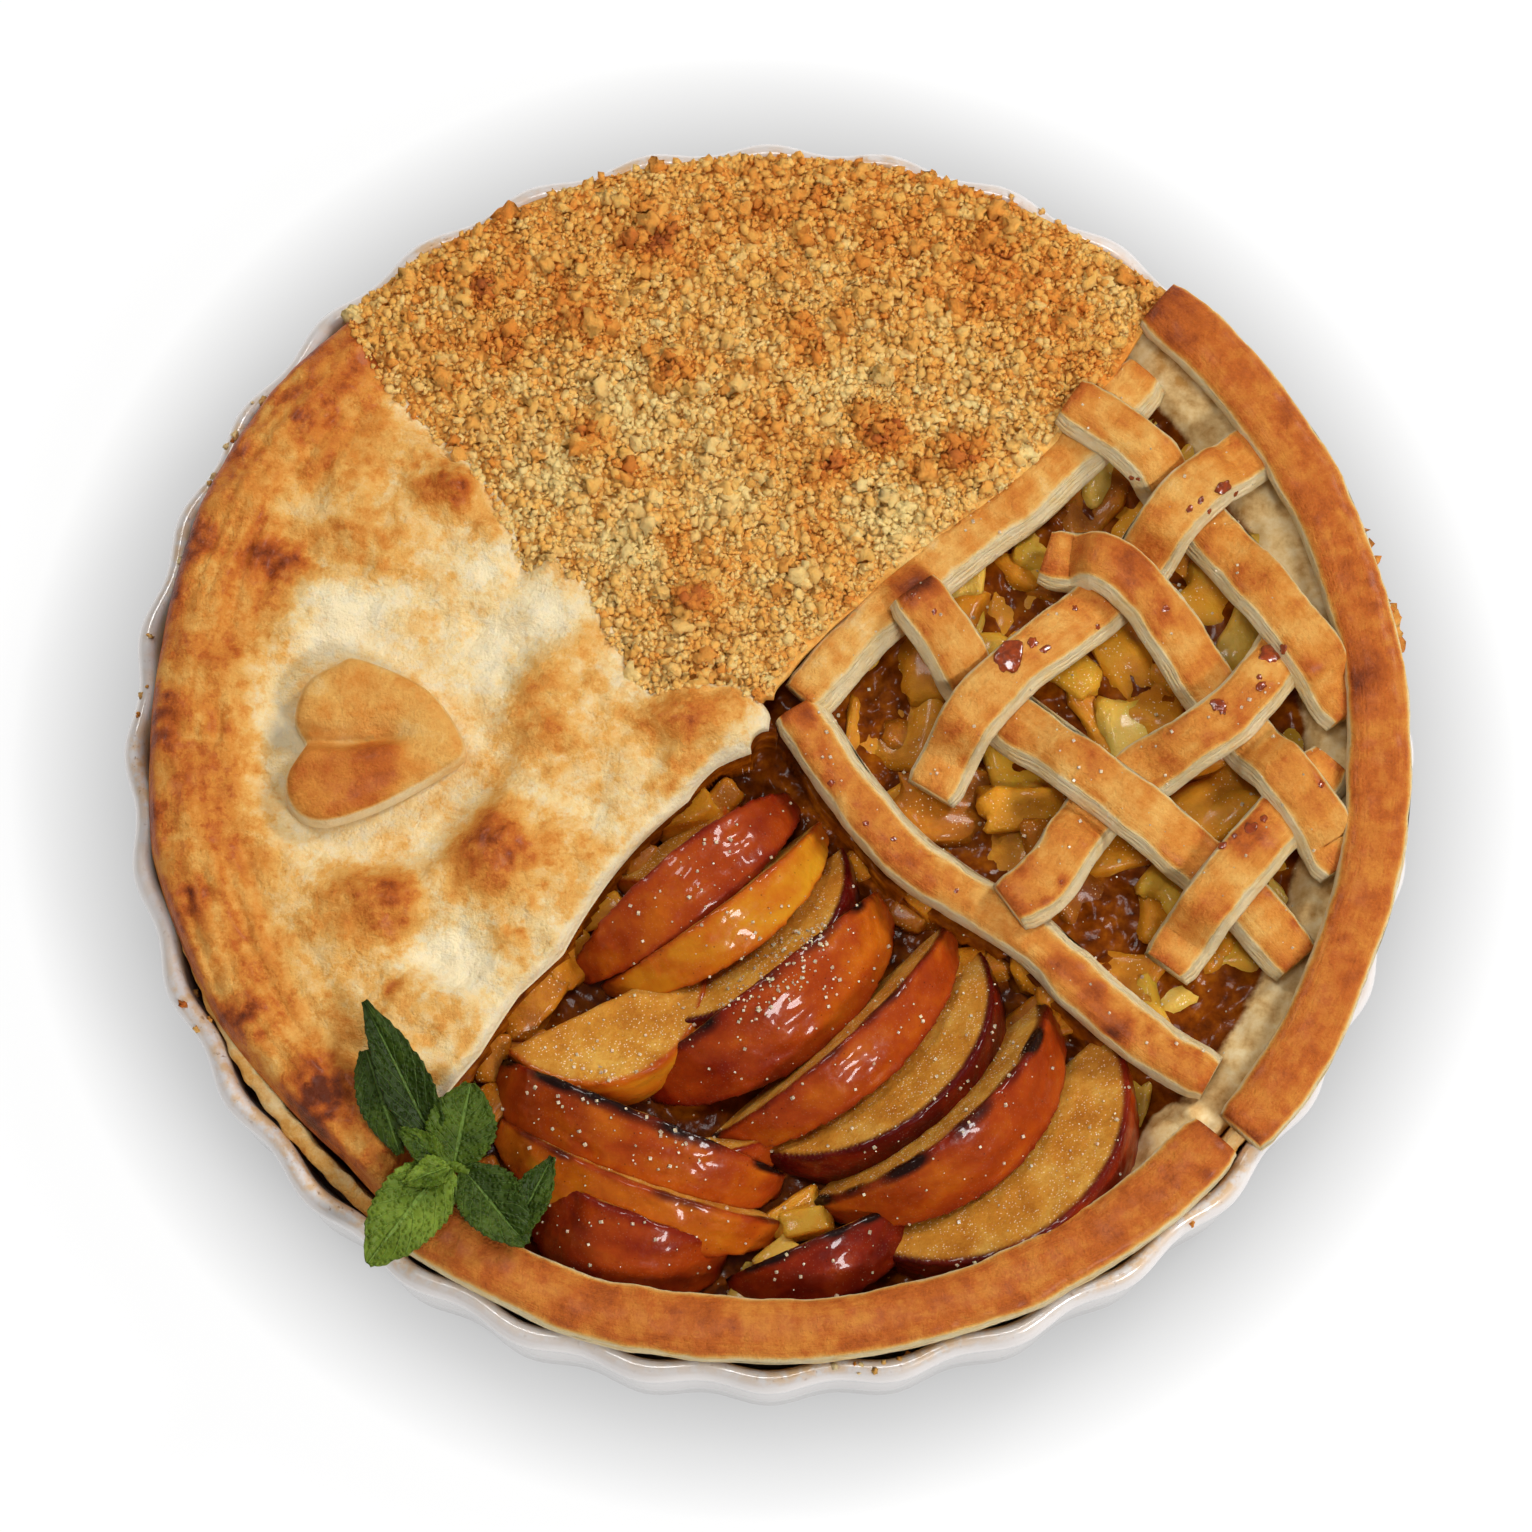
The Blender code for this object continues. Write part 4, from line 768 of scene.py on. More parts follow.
strips = {
    "width": 14.6, "thick": 5.8, "borderWidth": 14.2, "borderThick": 8.2, "around": 40, "flat": 7.2,
    "borderSteps": 150, "bandSteps": 260, "weaveSteps": 110,
    "crumbleBorder": [(8, 11), (22, 27), (39, 42.5), (57, 56.5), (71, 70.5), (84, 85.5)],
    "openBorder": [(6.5, 9.5), (17, -7), (29, -22), (41, -31), (56, -40.5), (71, -55), (85, -66.5), (95.5, -72.5)],
    "rightBand": (132.7, 14.8, 49.5, -40.3), "frontBand": (129.1, 14.8, -42.3, -128),  # radius, width, angles
    "bandThick": 7.4, "bandLevel": 46.3, "borderLevel": 41.5,
    "brown": [(31.5, 35.5, 5.7, .6), (79, 40.5, 7.6, .25), (86.5, 30, 1.3, .3), (39.5, 2.5, 1, .3),
              (13, -7.5, 2.5, .3), (18, -19.5, 3.8, .3), (27, -24.5, 5.1, .25), (63, -49, 3.2, .3),
              (70.5, -55, 3.2, .4), (72.5, -64, 5.1, .6), (63, -31.5, 1.3, .4), (60, -36.5, 1.5, .4),
              (120, -9.5, 1.5, .3), (103.5, -19.5, 5.1, .4), (114, -38.5, 1.5, .3), (90, 95, 7.6, .25),
              (129, 14.5, 5.7, .3), (138, 25, 2.5, .3), (134, 40.5, 3.8, .2), (49, 60.5, 7.6, .15),
              (27, -42.5, 2.5, .2), (8, 2, 6, .2)],
}
underLevel = 41.9
overLevel = 48.0
onBorder = 48.5
weave = {
    "lattice_down_1": [(66, 77.5, onBorder), (79, 68.5, onBorder), (92, 55, underLevel), (114.5, 25.5, overLevel),
                       (126.3, 7, overLevel - 4)],
    "lattice_down_2": [(60.5, 43.5, underLevel), (78, 37.5, overLevel), (101, 6.5, underLevel),
                       (115, -12, overLevel), (124.6, -27, overLevel - 4)],
    "lattice_down_3": [(31, 34, onBorder), (37, 25.5, onBorder), (48, 10.5, underLevel), (74, -11, overLevel),
                       (99.5, -31, underLevel), (114, -48, underLevel)],
    "lattice_up_1": [(35.5, -10, underLevel), (48, 10.5, overLevel), (78, 37.5, underLevel), (92, 55, overLevel),
                     (108.5, 68.2, overLevel - 4)],
    "lattice_up_2": [(52, -37, onBorder), (61, -30, onBorder), (74, -11, underLevel), (101, 6.5, overLevel),
                     (119, 31, underLevel)],
    "lattice_up_3": [(86, -49, underLevel), (99.5, -31, overLevel), (123, -3, underLevel)],
}


def weaveLevel(place, stops):
    reach = [(Vector(stops[0][:2]) - Vector(s[:2])).length for s in stops]
    at = (Vector(stops[0][:2]) - place).length
    for (near, a), (far, b) in zip(zip(reach, stops), zip(reach[1:], stops[1:])):
        if at <= far or b is stops[-1]:
            flat = min(strips["flat"], 0.35 * (far - near))
            return a[2] + (b[2] - a[2]) * ease((at - near - flat) / max(1.0, far - near - 2 * flat))
    return stops[-1][2]


def sweptBar(name, route, width, thick, stands, tone, seed, square, slant=2.2, lean=1.3, patchy=1.0):
    # a grid rolled round into a bar: its columns run along the route and its rows round the section. Square is
    # how boxy the section is, slant how far its sides slope, lean how far its top sits to one side
    bm = bmesh.new()
    length = sum((b - a).length for a, b in zip(route, route[1:]))
    steps = len(route) - 1
    bmesh.ops.create_grid(bm, x_segments=steps, y_segments=strips["around"], size=1.0)
    bake, along, around = paintLayers(bm, "bake", "along", "around")
    for vert in bm.verts:
        i = round((vert.co.x + 1) / 2 * steps)
        share = (vert.co.y + 1) / 2
        turn = 2 * math.pi * share
        here = route[i]
        ahead = (route[min(i + 1, steps)] - route[max(i - 1, 0)]).normalized()
        aside = Vector((0, 0, 1)).cross(ahead).normalized()
        upward = ahead.cross(aside)
        c, s = math.cos(turn), math.sin(turn)
        across = math.copysign(abs(c) ** square, c)
        lift = math.copysign(abs(s) ** square, s)
        ends = min(i, steps - i) * length / steps
        taper = 1 - 0.1 * (1 - ease(ends / 3)) - 0.03
        wide = width / 2 * taper * (1 + 0.06 * fuzz((i * length / steps, seed * 9, 0), 11))
        wide -= slant / 2 * (lift + 1) * (0.8 + 0.4 * fuzz((i * length / steps, seed * 5, 3), 9))
        tip = lean * (lift + 1) / 2 * (1 if aside.y > 0 else -1)  # the top sits a little to one side
        crown = 1 - 0.1 * across * across * (lift > 0)
        spot = here + aside * (across * wide + tip * (1 - 0.3 * across * across))
        spot += upward * lift * thick / 2 * crown * (0.82 + 0.18 * ease(ends / 2.4))
        rough = 0.34 * fuzz(spot, 6, seed) + 0.2 * fuzz(spot, 2.4, seed + 1) + 0.1 * fuzz(spot, 1.2, seed + 2)
        rough += 0.16 * fuzz((i * length / steps / 9, share * 40, seed), 1.6) * (1 - abs(lift))
        outward = (aside * c + upward * s).normalized()
        vert.co = spot + outward * rough * (0.7 + 0.3 * lift)
        vert[along] = i * length / steps
        vert[around] = strips["around"] * min(share, 1 - share)
        fade = 0.3 + 0.5 * (1 - patchy)  # how far the browning runs down the sides
        top = ease((lift - 0.92 + fade) / fade)
        ridge = 0.12 * top * ease((abs(across) - 0.7) / 0.25)
        value = 0.13 + 0.05 * fuzz((spot.x, spot.y, spot.z * 4), 3, 22)
        value += top * (tone - 0.04 + patchy * (0.16 * fuzz(spot, 8, 20) + 0.12 * fuzz(spot, 3, 21))) + ridge
        value += 0.7 * top * marks(spot.x, spot.y, strips["brown"]) + 0.14 * top * (1 - ease(ends / 4))
        vert[bake] = value
    bmesh.ops.remove_doubles(bm, verts=bm.verts[:], dist=0.002)
    closeHoles(bm)
    return addPiece(name, bm, stripPastry, stands)


def arcRoute(radius, start, end, level, count):
    route = []
    for i in range(count):
        angle = math.radians(start + (end - start) * i / (count - 1))
        r = radius + 0.9 * fuzz((angle * 4, radius, 0), 1)
        z = level + 0.25 * fuzz((angle * 9, 0, 0), 1, 4)
        route.append(Vector((r * math.cos(angle), r * math.sin(angle), z)))
    return route


def makeStrips():
    made = []
    for name, tone, plan, stands, slant, lean in (
            ("borderByCrumble", 0.36, strips["crumbleBorder"], "border_by_crumble", 3.0, 2.0),
            ("borderBySlices", 0.46, strips["openBorder"], "border_by_slices", 2.6, -1.8)):
        route = smoothRoute([(x, y, strips["borderLevel"]) for x, y in plan], strips["borderSteps"])
        made.append(sweptBar(name, route, strips["borderWidth"], strips["borderThick"], [stands], tone, 2, 0.6,
                             slant, lean))
    for name, form, stands in (("rimBandRight", strips["rightBand"], "right_rim_band"),
                               ("rimBandFront", strips["frontBand"], "front_rim_band")):
        radius, width, start, end = form
        route = arcRoute(radius, start, end, strips["bandLevel"], strips["bandSteps"])
        made.append(sweptBar(name, route, width, strips["bandThick"], [stands], 0.6, 3, 0.56, 0.9, 0, 0.55))
    for number, (name, stops) in enumerate(weave.items()):
        plan = smoothRoute([(*stop[:2], 0) for stop in stops], strips["weaveSteps"])
        route = [Vector((p.x, p.y, weaveLevel(p.xy, stops))) for p in plan]
        made.append(sweptBar("strip" + name.title().replace("_", ""), route, strips["width"], strips["thick"],
                             [name], 0.46, 5 + number, 0.48))
    return made


# Fruit: a syrupy bed under the lattice and in the open quarter, with cut apple in it

fruit = {
    "latticeBed": 34.6, "openBed": 28.0, "top": 41.8, "rings": 170, "spokes": 420,
    "radius": 129.4, "footRadius": 124.5, "foot": 9.8,
    "torn": [(88, -86, 9, 1), (95, -80, 6, 1), (80, -96, 6, 0.9)],  # ragged dough in the right corner
    "spacing": 13.5, "seed": 7, "reach": (20, 115), "chunk": (17, 26), "chunkTop": (35.5, 40.2),
    "ripeness": (0.3, 0.38, 0.44, 0.5, 0.56, 0.64, 0.76),
    # place, size, level of the top, turn and ripeness
    "openChunks": [(24, -20, 12, 33, 30, .35), (33, -31, 12, 33, 60, .3), (45, -46, 13, 34, 10, .36),
                   (57, -60, 13, 34, 40, .32), (70, -72, 12, 34, 75, .4), (-45, -96, 12, 36, 15, .35),
                   (-62, -80, 11, 35, 50, .3), (6, -100, 12, 34, 30, .5), (-60, -66, 12, 35, 80, .3),
                   (-19, -12, 13, 38, 20, .45), (-10, -9, 9, 36, 50, .3), (-52, -54, 16, 37, 60, .36),
                   (-44, -45, 14, 37, 40, .4), (-28, -23, 9, 35, 70, .3),
                   (-37, -34, 8, 34, 25, .45), (-52, -64, 9, 33, 15, .3), (8, -103, 10, 36, 12, .6),
                   (2, -110, 9, 34, 40, .75), (-4, -117, 9, 33, 65, .85), (72, -84, 10, 34, 20, .85),
                   (62, -98, 10, 34, 50, .8), (80, -76, 10, 34, 75, .7), (38, -26, 9, 33, 40, .3),
                   (50, -42, 9, 33, 65, .25), (64, -58, 9, 33, 20, .3), (-63, -92, 9, 35, 15, .2)],
}


def makeFruitBed():
    # one grid rolled round into a disc, its top sunk where the fruit shows
    bm = bmesh.new()
    bmesh.ops.create_grid(bm, x_segments=fruit["spokes"], y_segments=fruit["rings"], size=1.0)
    ripe = paintLayers(bm, "ripe")
    for vert in bm.verts:
        r = 0.5 + 128.6 * (vert.co.y + 1) / 2
        angle = 180 * vert.co.x
        far = fruit["radius"] - pulledIn(angle)
        r = min(r, far)
        x, y = r * math.cos(math.radians(angle)), r * math.sin(math.radians(angle))
        openSide = readAlong(lidOpenEdge, r) - 360 < angle < readAlong(latticeOpenEdge, r)
        underLattice = readAlong(latticeOpenEdge, r) <= angle < readAlong(crumbleLatticeEdge, r)
        z = fruit["top"]
        torn = 0.0
        if openSide or r < 4:
            torn = min(1.0, marks(x, y, fruit["torn"]))
            z = fruit["openBed"] + 1.3 * fuzz((x, y, 0), 7) + 0.7 * fuzz((x, y, 0), 2.6)
            ridges = 1 - abs(fuzz((x + 0.6 * y, y * 0.4, 0), 3.6, 41)) * 3
            z += torn * (11 + 1.8 * ridges + 1.4 * fuzz((x, y, 0), 1.9, 42) + 2.0 * fuzz((x, y, 0), 7, 43))
        elif underLattice:
            z = fruit["latticeBed"] + 1.1 * fuzz((x, y, 0), 6) + 0.6 * fuzz((x, y, 0), 2.4)
            z += 4 * ease((r - 114) / 9)
        vert.co = (x, y, z)
        vert[ripe] = 0.2 + 0.16 * fuzz((x, y, 0), 6, 3) + 0.7 * ease((r - 113) / 8) * underLattice
        vert[ripe] += 0.7 * ease((torn - 0.25) / 0.4) + 0.3 * torn * fuzz((x, y, 0), 4, 44)
    bmesh.ops.remove_doubles(bm, verts=bm.verts[:], dist=0.01)
    rim = [e for e in bm.edges if e.is_boundary and e.verts[0].co.xy.length > 60]
    for vert in drawnOut(bm, rim)[1]:
        vert.co.xy *= fruit["footRadius"] / vert.co.xy.length
        vert.co.z = fruit["foot"]
    closeHoles(bm)
    return addPiece("fruitBed", bm, darkSyrup, ["fruit_filling"])


def joinInto(bm, made):  # adds a small mesh to a larger one
    mesh = bpy.data.meshes.new("joined")
    made.to_mesh(mesh)
    made.free()
    bm.from_mesh(mesh)
    bpy.data.meshes.remove(mesh)


def cutChunk(bm, x, y, size, top, turn, value, draw):
    made = bmesh.new()
    ripe = paintLayers(made, "ripe")
    bmesh.ops.create_cube(made, size=size)
    bmesh.ops.bevel(made, geom=made.edges[:], offset=size * 0.13, segments=2, affect="EDGES", profile=0.5,
                    material=-1)
    inner = [e for e in made.edges if e.calc_length() > size * 0.3]
    bmesh.ops.subdivide_edges(made, edges=inner, cuts=4, use_grid_fill=True)
    form = Matrix.Rotation(math.radians(turn), 3, "Z") @ Matrix.Rotation(draw.uniform(-0.4, 0.4), 3, "X")
    form = form @ Matrix.Rotation(draw.uniform(-0.35, 0.35), 3, "Y") @ Matrix.Diagonal(
        (draw.uniform(0.9, 1.3), draw.uniform(0.5, 0.8), draw.uniform(0.5, 0.7)))
    shift = Vector((draw.uniform(0, 50), draw.uniform(0, 50), 0))
    for vert in made.verts:
        spot = vert.co + shift
        lump = 0.2 * noise.noise(spot / 8) + 0.06 * noise.noise(spot / 3) + 0.015 * noise.noise(spot / 1.2)
        vert.co += vert.co.normalized() * size * lump
        vert.co = form @ vert.co
    highest = max(v.co.z for v in made.verts)
    for vert in made.verts:
        vert.co += Vector((x, y, top - highest))
        vert[ripe] = value + 0.02 * (vert.co.z - top + 4)
    joinInto(bm, made)


def makeChunks():
    draw = random.Random(fruit["seed"])
    bm = bmesh.new()
    paintLayers(bm, "ripe")
    spacing = fruit["spacing"]
    for row in range(-10, 14):
        for column in range(14):
            x = 10 + spacing * (column + (row % 2) / 2) + draw.uniform(-3, 3)
            y = row * spacing * 0.86 + draw.uniform(-3, 3)
            r, angle = polar(x, y)
            size, turn = draw.uniform(*fruit["chunk"]), draw.uniform(0, 180)
            top = draw.uniform(*fruit["chunkTop"])
            value = draw.choice(fruit["ripeness"]) + draw.uniform(-0.04, 0.04) + 0.2 * ease((r - 98) / 12)
            if not fruit["reach"][0] < r < fruit["reach"][1]:
                continue
            give = math.degrees(7 / r)
            if readAlong(latticeOpenEdge, r) + give < angle < readAlong(crumbleLatticeEdge, r) - give:
                cutChunk(bm, x, y, size, top, turn, value, draw)
    for x, y, size, top, turn, value in fruit["openChunks"]:
        cutChunk(bm, x, y, size, top, turn, value, draw)
    return addPiece("appleChunks", bm, stewedApple)


# Slices: wedges of apple with the core cut out, leaning on each other

slices = {
    "coreRadius": 9.0, "level": 27.3, "voxel": 0.75, "grow": 1.06,
    # tips on the plan, tip-up and cut angles, radius, how red the skin is at each end, char on its edge
    "wedges": {
        "slice_left_1": ((-60, -68.5), (3, -94.5), 62, 39, 29, 0.55, 0.38, 1.25),
        "slice_left_2": ((-60, -79.5), (4, -104), 56, 28, 29, 0.3, 0.36, 0.75),
        "slice_left_3": ((-52, -94.5), (-9, -111.5), 56, 46, 26, 0.66, 0.6, 0.0),
        "slice_1": ((-42, -48), (6, -8), 80, 30, 30, 0.42, 0.66, 0.15),
        "slice_2": ((-36, -51), (12, -14), 62, 23, 30, 0.22, 0.1, 0.0),
        "slice_3": ((-32, -58.5), (17, -20), 28, 30, 32, 0.7, 0.98, 0.0),
        "slice_4": ((-27.5, -73.5), (25.5, -31), 60, 42, 29, 0.72, 0.3, 1.0),
        "slice_5": ((-12.5, -85.5), (40, -36.5), 58, 25, 30, 0.5, 0.5, 1.0),
        "slice_6": ((-2, -88), (47, -43), 24, 32, 34, 0.9, 0.95, 0.0),
        "slice_7": ((9, -99.5), (61, -53), 46, 30, 34, 0.42, 0.6, 1.2),
        "slice_8": ((22, -109.5), (74, -60), 16, 33, 38, 0.75, 0.6, 0.0),
        "slice_9": ((-9, -117.5), (32, -99.5), 62, 39, 22, 0.7, 0.85, 1.4),
    },
    "tucked": {  # pieces that show only between the slices
        "tuckedLeft": ((-57, -66), (-14, -45), 6, 34, 29, 0.12, 0.2, 0.0),
        "tuckedTop": ((-33, -28), (-9, -9), 30, 36, 23, 0.2, 0.3, 0.0),
        "tuckedMiddle": ((-42, -88), (4, -84), 48, 30, 22, 0.4, 0.5, 0.3),
    },
}


def makeSlice(name, stands, first, last, tipUp, cutAngle, radius, redStart, redEnd, charred, number):
    halfCut = math.radians(cutAngle / 2)
    radius *= slices["grow"]
    core = slices["coreRadius"]
    run = Vector((*last, 0)) - Vector((*first, 0))
    halfLength = run.length / 2 / math.sqrt(1 - (core / radius) ** 2)
    bm = bmesh.new()
    bmesh.ops.create_uvsphere(bm, u_segments=72, v_segments=36, radius=1.0)
    bmesh.ops.transform(bm, matrix=Matrix.Rotation(math.pi / 2, 4, "Y"), verts=bm.verts[:])
    bmesh.ops.transform(bm, matrix=Matrix.Diagonal((halfLength, radius, radius, 1)), verts=bm.verts[:])
    cuts = [((0, 0, core), (0, 0, -1))]
    cuts += [((0, 0, 0), (0, s * math.cos(halfCut), -math.sin(halfCut))) for s in (-1, 1)]
    for place, normal in cuts:
        bmesh.ops.bisect_plane(bm, geom=bm.verts[:] + bm.edges[:] + bm.faces[:], dist=0.005, plane_co=place,
                               plane_no=normal, clear_outer=True)
        closeHoles(bm)
    bmesh.ops.recalc_face_normals(bm, faces=bm.faces[:])
    mesh = bpy.data.meshes.new(name)
    bm.to_mesh(mesh)
    bm.free()
    rough = putIn(name, mesh)
    even = rough.modifiers.new("even", "REMESH")  # even squares all over, so that both cuts can be shaped
    even.mode = "VOXEL"
    even.voxel_size = slices["voxel"]
    bpy.context.view_layer.update()
    bm = bmesh.new()
    graph = bpy.context.evaluated_depsgraph_get()
    bm.from_mesh(bpy.data.meshes.new_from_object(rough.evaluated_get(graph)))
    bpy.data.objects.remove(rough, do_unlink=True)
    skin, blush, char = paintLayers(bm, "skin", "blush", "char")
    bm.normal_update()
    for vert in bm.verts:
        x, y, z = vert.co
        out = math.sqrt((x / halfLength) ** 2 + (y * y + z * z) / (radius * radius))
        across = math.atan2(y, z) / halfCut  # -1 to 1 from cut to cut
        t = (x / halfLength + 1) / 2
        onSkin = ease((out - 0.945) / 0.03)
        edge = ease((across - 0.55) / 0.4)  # the upper cut's edge
        wrinkle = 0.32 * fuzz((x * 0.6, y * 1.6, z), 3.2, number) + 0.16 * fuzz((x, y * 2, z), 1.5, number)
        sink = 0.7 * (1 - abs(across)) * fuzz((x, 0, 0), 14, number + 3)
        onCut = 0.25 * fuzz((x, y, z), 3, number + 5)
        vert.co += vert.normal * (onSkin * (wrinkle + sink) + (1 - onSkin) * onCut)
        vert[skin] = onSkin
        rims = ease((abs(across) - 0.7) / 0.3) + ease((abs(2 * t - 1) - 0.8) / 0.2)
        vert[blush] = redStart + (redEnd - redStart) * t + 0.22 * rims + 0.2 * fuzz((x, y * 2, z), 9, number)
        burn = charred * (ease((out - 0.9) / 0.06) * edge + 0.5 * onSkin * ease((0.1 - t) / 0.1))
        vert[char] = burn * (0.62 + 1.1 * fuzz((x, y * 0.4, z), 7, number + 8))
    alongAxis = run.normalized()
    across = Vector((alongAxis.y, -alongAxis.x, 0))
    tip = math.radians(tipUp)
    outward = across * math.cos(tip) + Vector((0, 0, math.sin(tip)))
    turn = Matrix((alongAxis, outward.cross(alongAxis), outward)).transposed().to_4x4()
    middle = (Vector((*first, 0)) + Vector((*last, 0))) / 2 - outward * core
    bmesh.ops.transform(bm, matrix=Matrix.Translation(middle) @ turn, verts=bm.verts[:])
    lowest = min(v.co.z for v in bm.verts)
    bmesh.ops.translate(bm, verts=bm.verts[:], vec=(0, 0, slices["level"] - lowest))
    return addPiece(name, bm, bakedApple, stands)


# Sugar and glaze

sprinkles = {
    "sugarCount": 1000, "seed": 21, "glazeSeed": 5, "reach": (8, 122), "angles": (-132, 50),
    "thick": [(2, -50, 6, 1.4), (9, -43, 5, 1.2), (-6, -58, 5, 1), (-40, -76, 8, .35), (-22, -86, 8, .3),
              (22, -56, 8, .2), (46, -74, 8, .2), (-14, -32, 8, .2)],
    "glaze": [(52, 18.5, 4.2), (57.5, 22, 1.8), (60, 20.5, 1.3), (92, 52, 1), (96.5, 52, 1), (99.5, 57, 2),
              (102.5, 56.5, 1.3), (94.5, 54, .9), (97.5, 8, 2.3), (98.5, 6.5, 1.3), (107, 12, 1.5), (106.5, 14, .9),
              (109, 19.5, 3.3), (112, 20.5, 1.5), (86.5, 29.5, 1), (67, 31, 1.1), (72, 27, .9), (98, -23.5, 1.5),
              (104, -19.5, 2), (107, -17.5, 1.3), (100.5, -21.5, 1), (119.5, -10, 1), (79.5, 60, .9),
              (81, 59.5, .8), (27, -21, .9), (21, -17.5, .9), (13.5, -8.5, 1), (31.5, 32.5, .8), (36, 28.5, .8),
              (63, -32, .6), (40.5, -32.5, .8)],
}


def makeSugar(ground):
    draw = random.Random(sprinkles["seed"])
    bm = bmesh.new()
    near, far = sprinkles["reach"]
    placed = 0
    while placed < sprinkles["sugarCount"]:
        r = math.sqrt(draw.uniform(near ** 2, far ** 2))
        degrees = draw.uniform(*sprinkles["angles"])
        x, y = r * math.cos(math.radians(degrees)), r * math.sin(math.radians(degrees))
        inOpen = degrees < readAlong(latticeOpenEdge, r)
        weight = 0.06 + marks(x, y, sprinkles["thick"]) if inOpen else 0.03
        if draw.random() > weight:
            continue
        hit, normal = drop(ground, x, y)
        if hit is None or normal.z < 0.3:
            continue
        size = 0.18 + 0.5 * draw.random() ** 2.2
        made = bmesh.ops.create_cube(bm, size=size)["verts"]
        spin = draw.uniform(0, 3.1)
        turn = Matrix.Rotation(spin, 4, Vector((draw.random(), draw.random(), draw.random() + 0.1)))
        bmesh.ops.transform(bm, matrix=Matrix.Translation(hit + normal * size * 0.25) @ turn, verts=made)
        placed += 1
    return addPiece("sugarGrains", bm, sugar, sharp=20)


def makeGlaze(ground):
    draw = random.Random(sprinkles["glazeSeed"])
    bm = bmesh.new()
    for x, y, size in sprinkles["glaze"]:
        hit, normal = drop(ground, x, y)
        if hit is None:
            continue
        made = bmesh.ops.create_icosphere(bm, subdivisions=3, radius=1.0)["verts"]
        shift = Vector((draw.uniform(0, 50), draw.uniform(0, 50), 0))
        stretch = draw.uniform(1.0, 1.5)
        turn = Matrix.Rotation(draw.uniform(0.4, 1.2), 3, "Z")
        tilt = Vector((0, 0, 1)).rotation_difference(normal).to_matrix()
        for vert in made:
            wide = 1 + 0.7 * noise.noise(vert.co * 1.3 + shift)
            flat = 0.3 if size < 2 else 0.2
            spot = Vector((vert.co.x * stretch * wide, vert.co.y * wide, vert.co.z * flat))
            vert.co = hit + tilt @ (turn @ spot) * size * 0.62
    return addPiece("caramelDrops", bm, caramel)


# Mint: folded, toothed leaves on a short stem

sprig = {
    "lengthSteps": 60, "widthSteps": 28, "thick": 0.45, "teeth": 13,
    # foot, tip, width, bluntness, fold, shade from dark to light, curl along the leaf
    "leaves": [
        ((-69.5, -93, 53.2), (-86.5, -59.5, 57.0), 10.5, 0.4, 26, 0.34, 1.4),
        ((-86.0, -70, 56.4), (-78.5, -92, 53.8), 10.5, 0.6, -18, 0.42, 0.8),
        ((-67.0, -95, 53.4), (-63.5, -77, 55.4), 15.0, 0.75, 10, 0.55, 1.2),
        ((-68.4, -94, 53.2), (-85.0, -115.5, 52.6), 16.0, 0.6, 8, 0.78, 1.4),
        ((-65.0, -95.5, 53.4), (-51.5, -111.5, 53.6), 14.0, 0.6, 16, 0.48, 1.4),
        ((-54.5, -110, 53.6), (-46.0, -93, 55.6), 8.0, 0.5, 26, 0.46, 0.8),
        ((-69.6, -94, 53.6), (-78.5, -87.0, 55.6), 6.5, 0.5, 20, 0.62, 0.8),
        ((-67.4, -94.5, 53.6), (-77.5, -99, 56.0), 6.5, 0.5, 20, 0.8, 0.8),
    ],
    "stem": [(-74.5, -91.5, 52.2), (-70.5, -93, 53.0), (-67.0, -94.5, 53.3), (-63.5, -96, 53.3)],
    "stemRadius": 1.2,
}


def makeLeaf(bm, foot, tip, width, blunt, fold, shade, curl, number):
    made = bmesh.new()
    bmesh.ops.create_grid(made, x_segments=sprig["lengthSteps"], y_segments=sprig["widthSteps"], size=1.0)
    along, side, tone = paintLayers(made, "along", "side", "tone")
    run = Vector(tip) - Vector(foot)
    for vert in made.verts:
        t = (vert.co.x + 1) / 2
        s = vert.co.y
        outline = math.sin(math.pi * (0.02 + 0.965 * t) ** (0.72 + 0.2 * blunt)) ** (1.0 - 0.45 * blunt)
        saw = (t * sprig["teeth"]) % 1.0
        outline *= 1 + 0.09 * (saw - 0.5) * ease((abs(s) - 0.6) / 0.4) * ease((1 - t) / 0.1)
        outline *= 1 + 0.06 * fuzz((t * 9, s, number), 2)
        reach = abs(s) * outline * width / 2
        lift = reach * math.tan(math.radians(fold)) + 0.5 * math.sin(9 * t + 2 * s) * abs(s)
        lift += curl * math.sin(math.pi * t) + 0.12 * math.sin((t * 7 - abs(s) * 2.6) * 6.283) * abs(s)
        lift += 0.7 * fuzz((t * 20, s * 8, number * 7), 5) + 0.3 * fuzz((t * 20, s * 8, number * 7), 2)
        vert.co = (t * run.length, s * outline * width / 2, lift)
        vert[along] = t
        vert[side] = abs(s)
        # On leaves folded more than 15 degrees, one half is painted 0.12 darker, as painted shade on that half of
        # the fold.
        vert[tone] = shade + 0.14 * fuzz((t * 20, s * 8, number), 5) - 0.12 * (s > 0) * (fold > 15)
    alongLeaf = run.normalized()
    sideways = Vector((0, 0, 1)).cross(alongLeaf).normalized()
    turn = Matrix((alongLeaf, sideways, alongLeaf.cross(sideways))).transposed().to_4x4()
    bmesh.ops.transform(made, matrix=Matrix.Translation(foot) @ turn, verts=made.verts[:])
    bmesh.ops.recalc_face_normals(made, faces=made.faces[:])
    bmesh.ops.solidify(made, geom=made.faces[:], thickness=sprig["thick"])
    joinInto(bm, made)


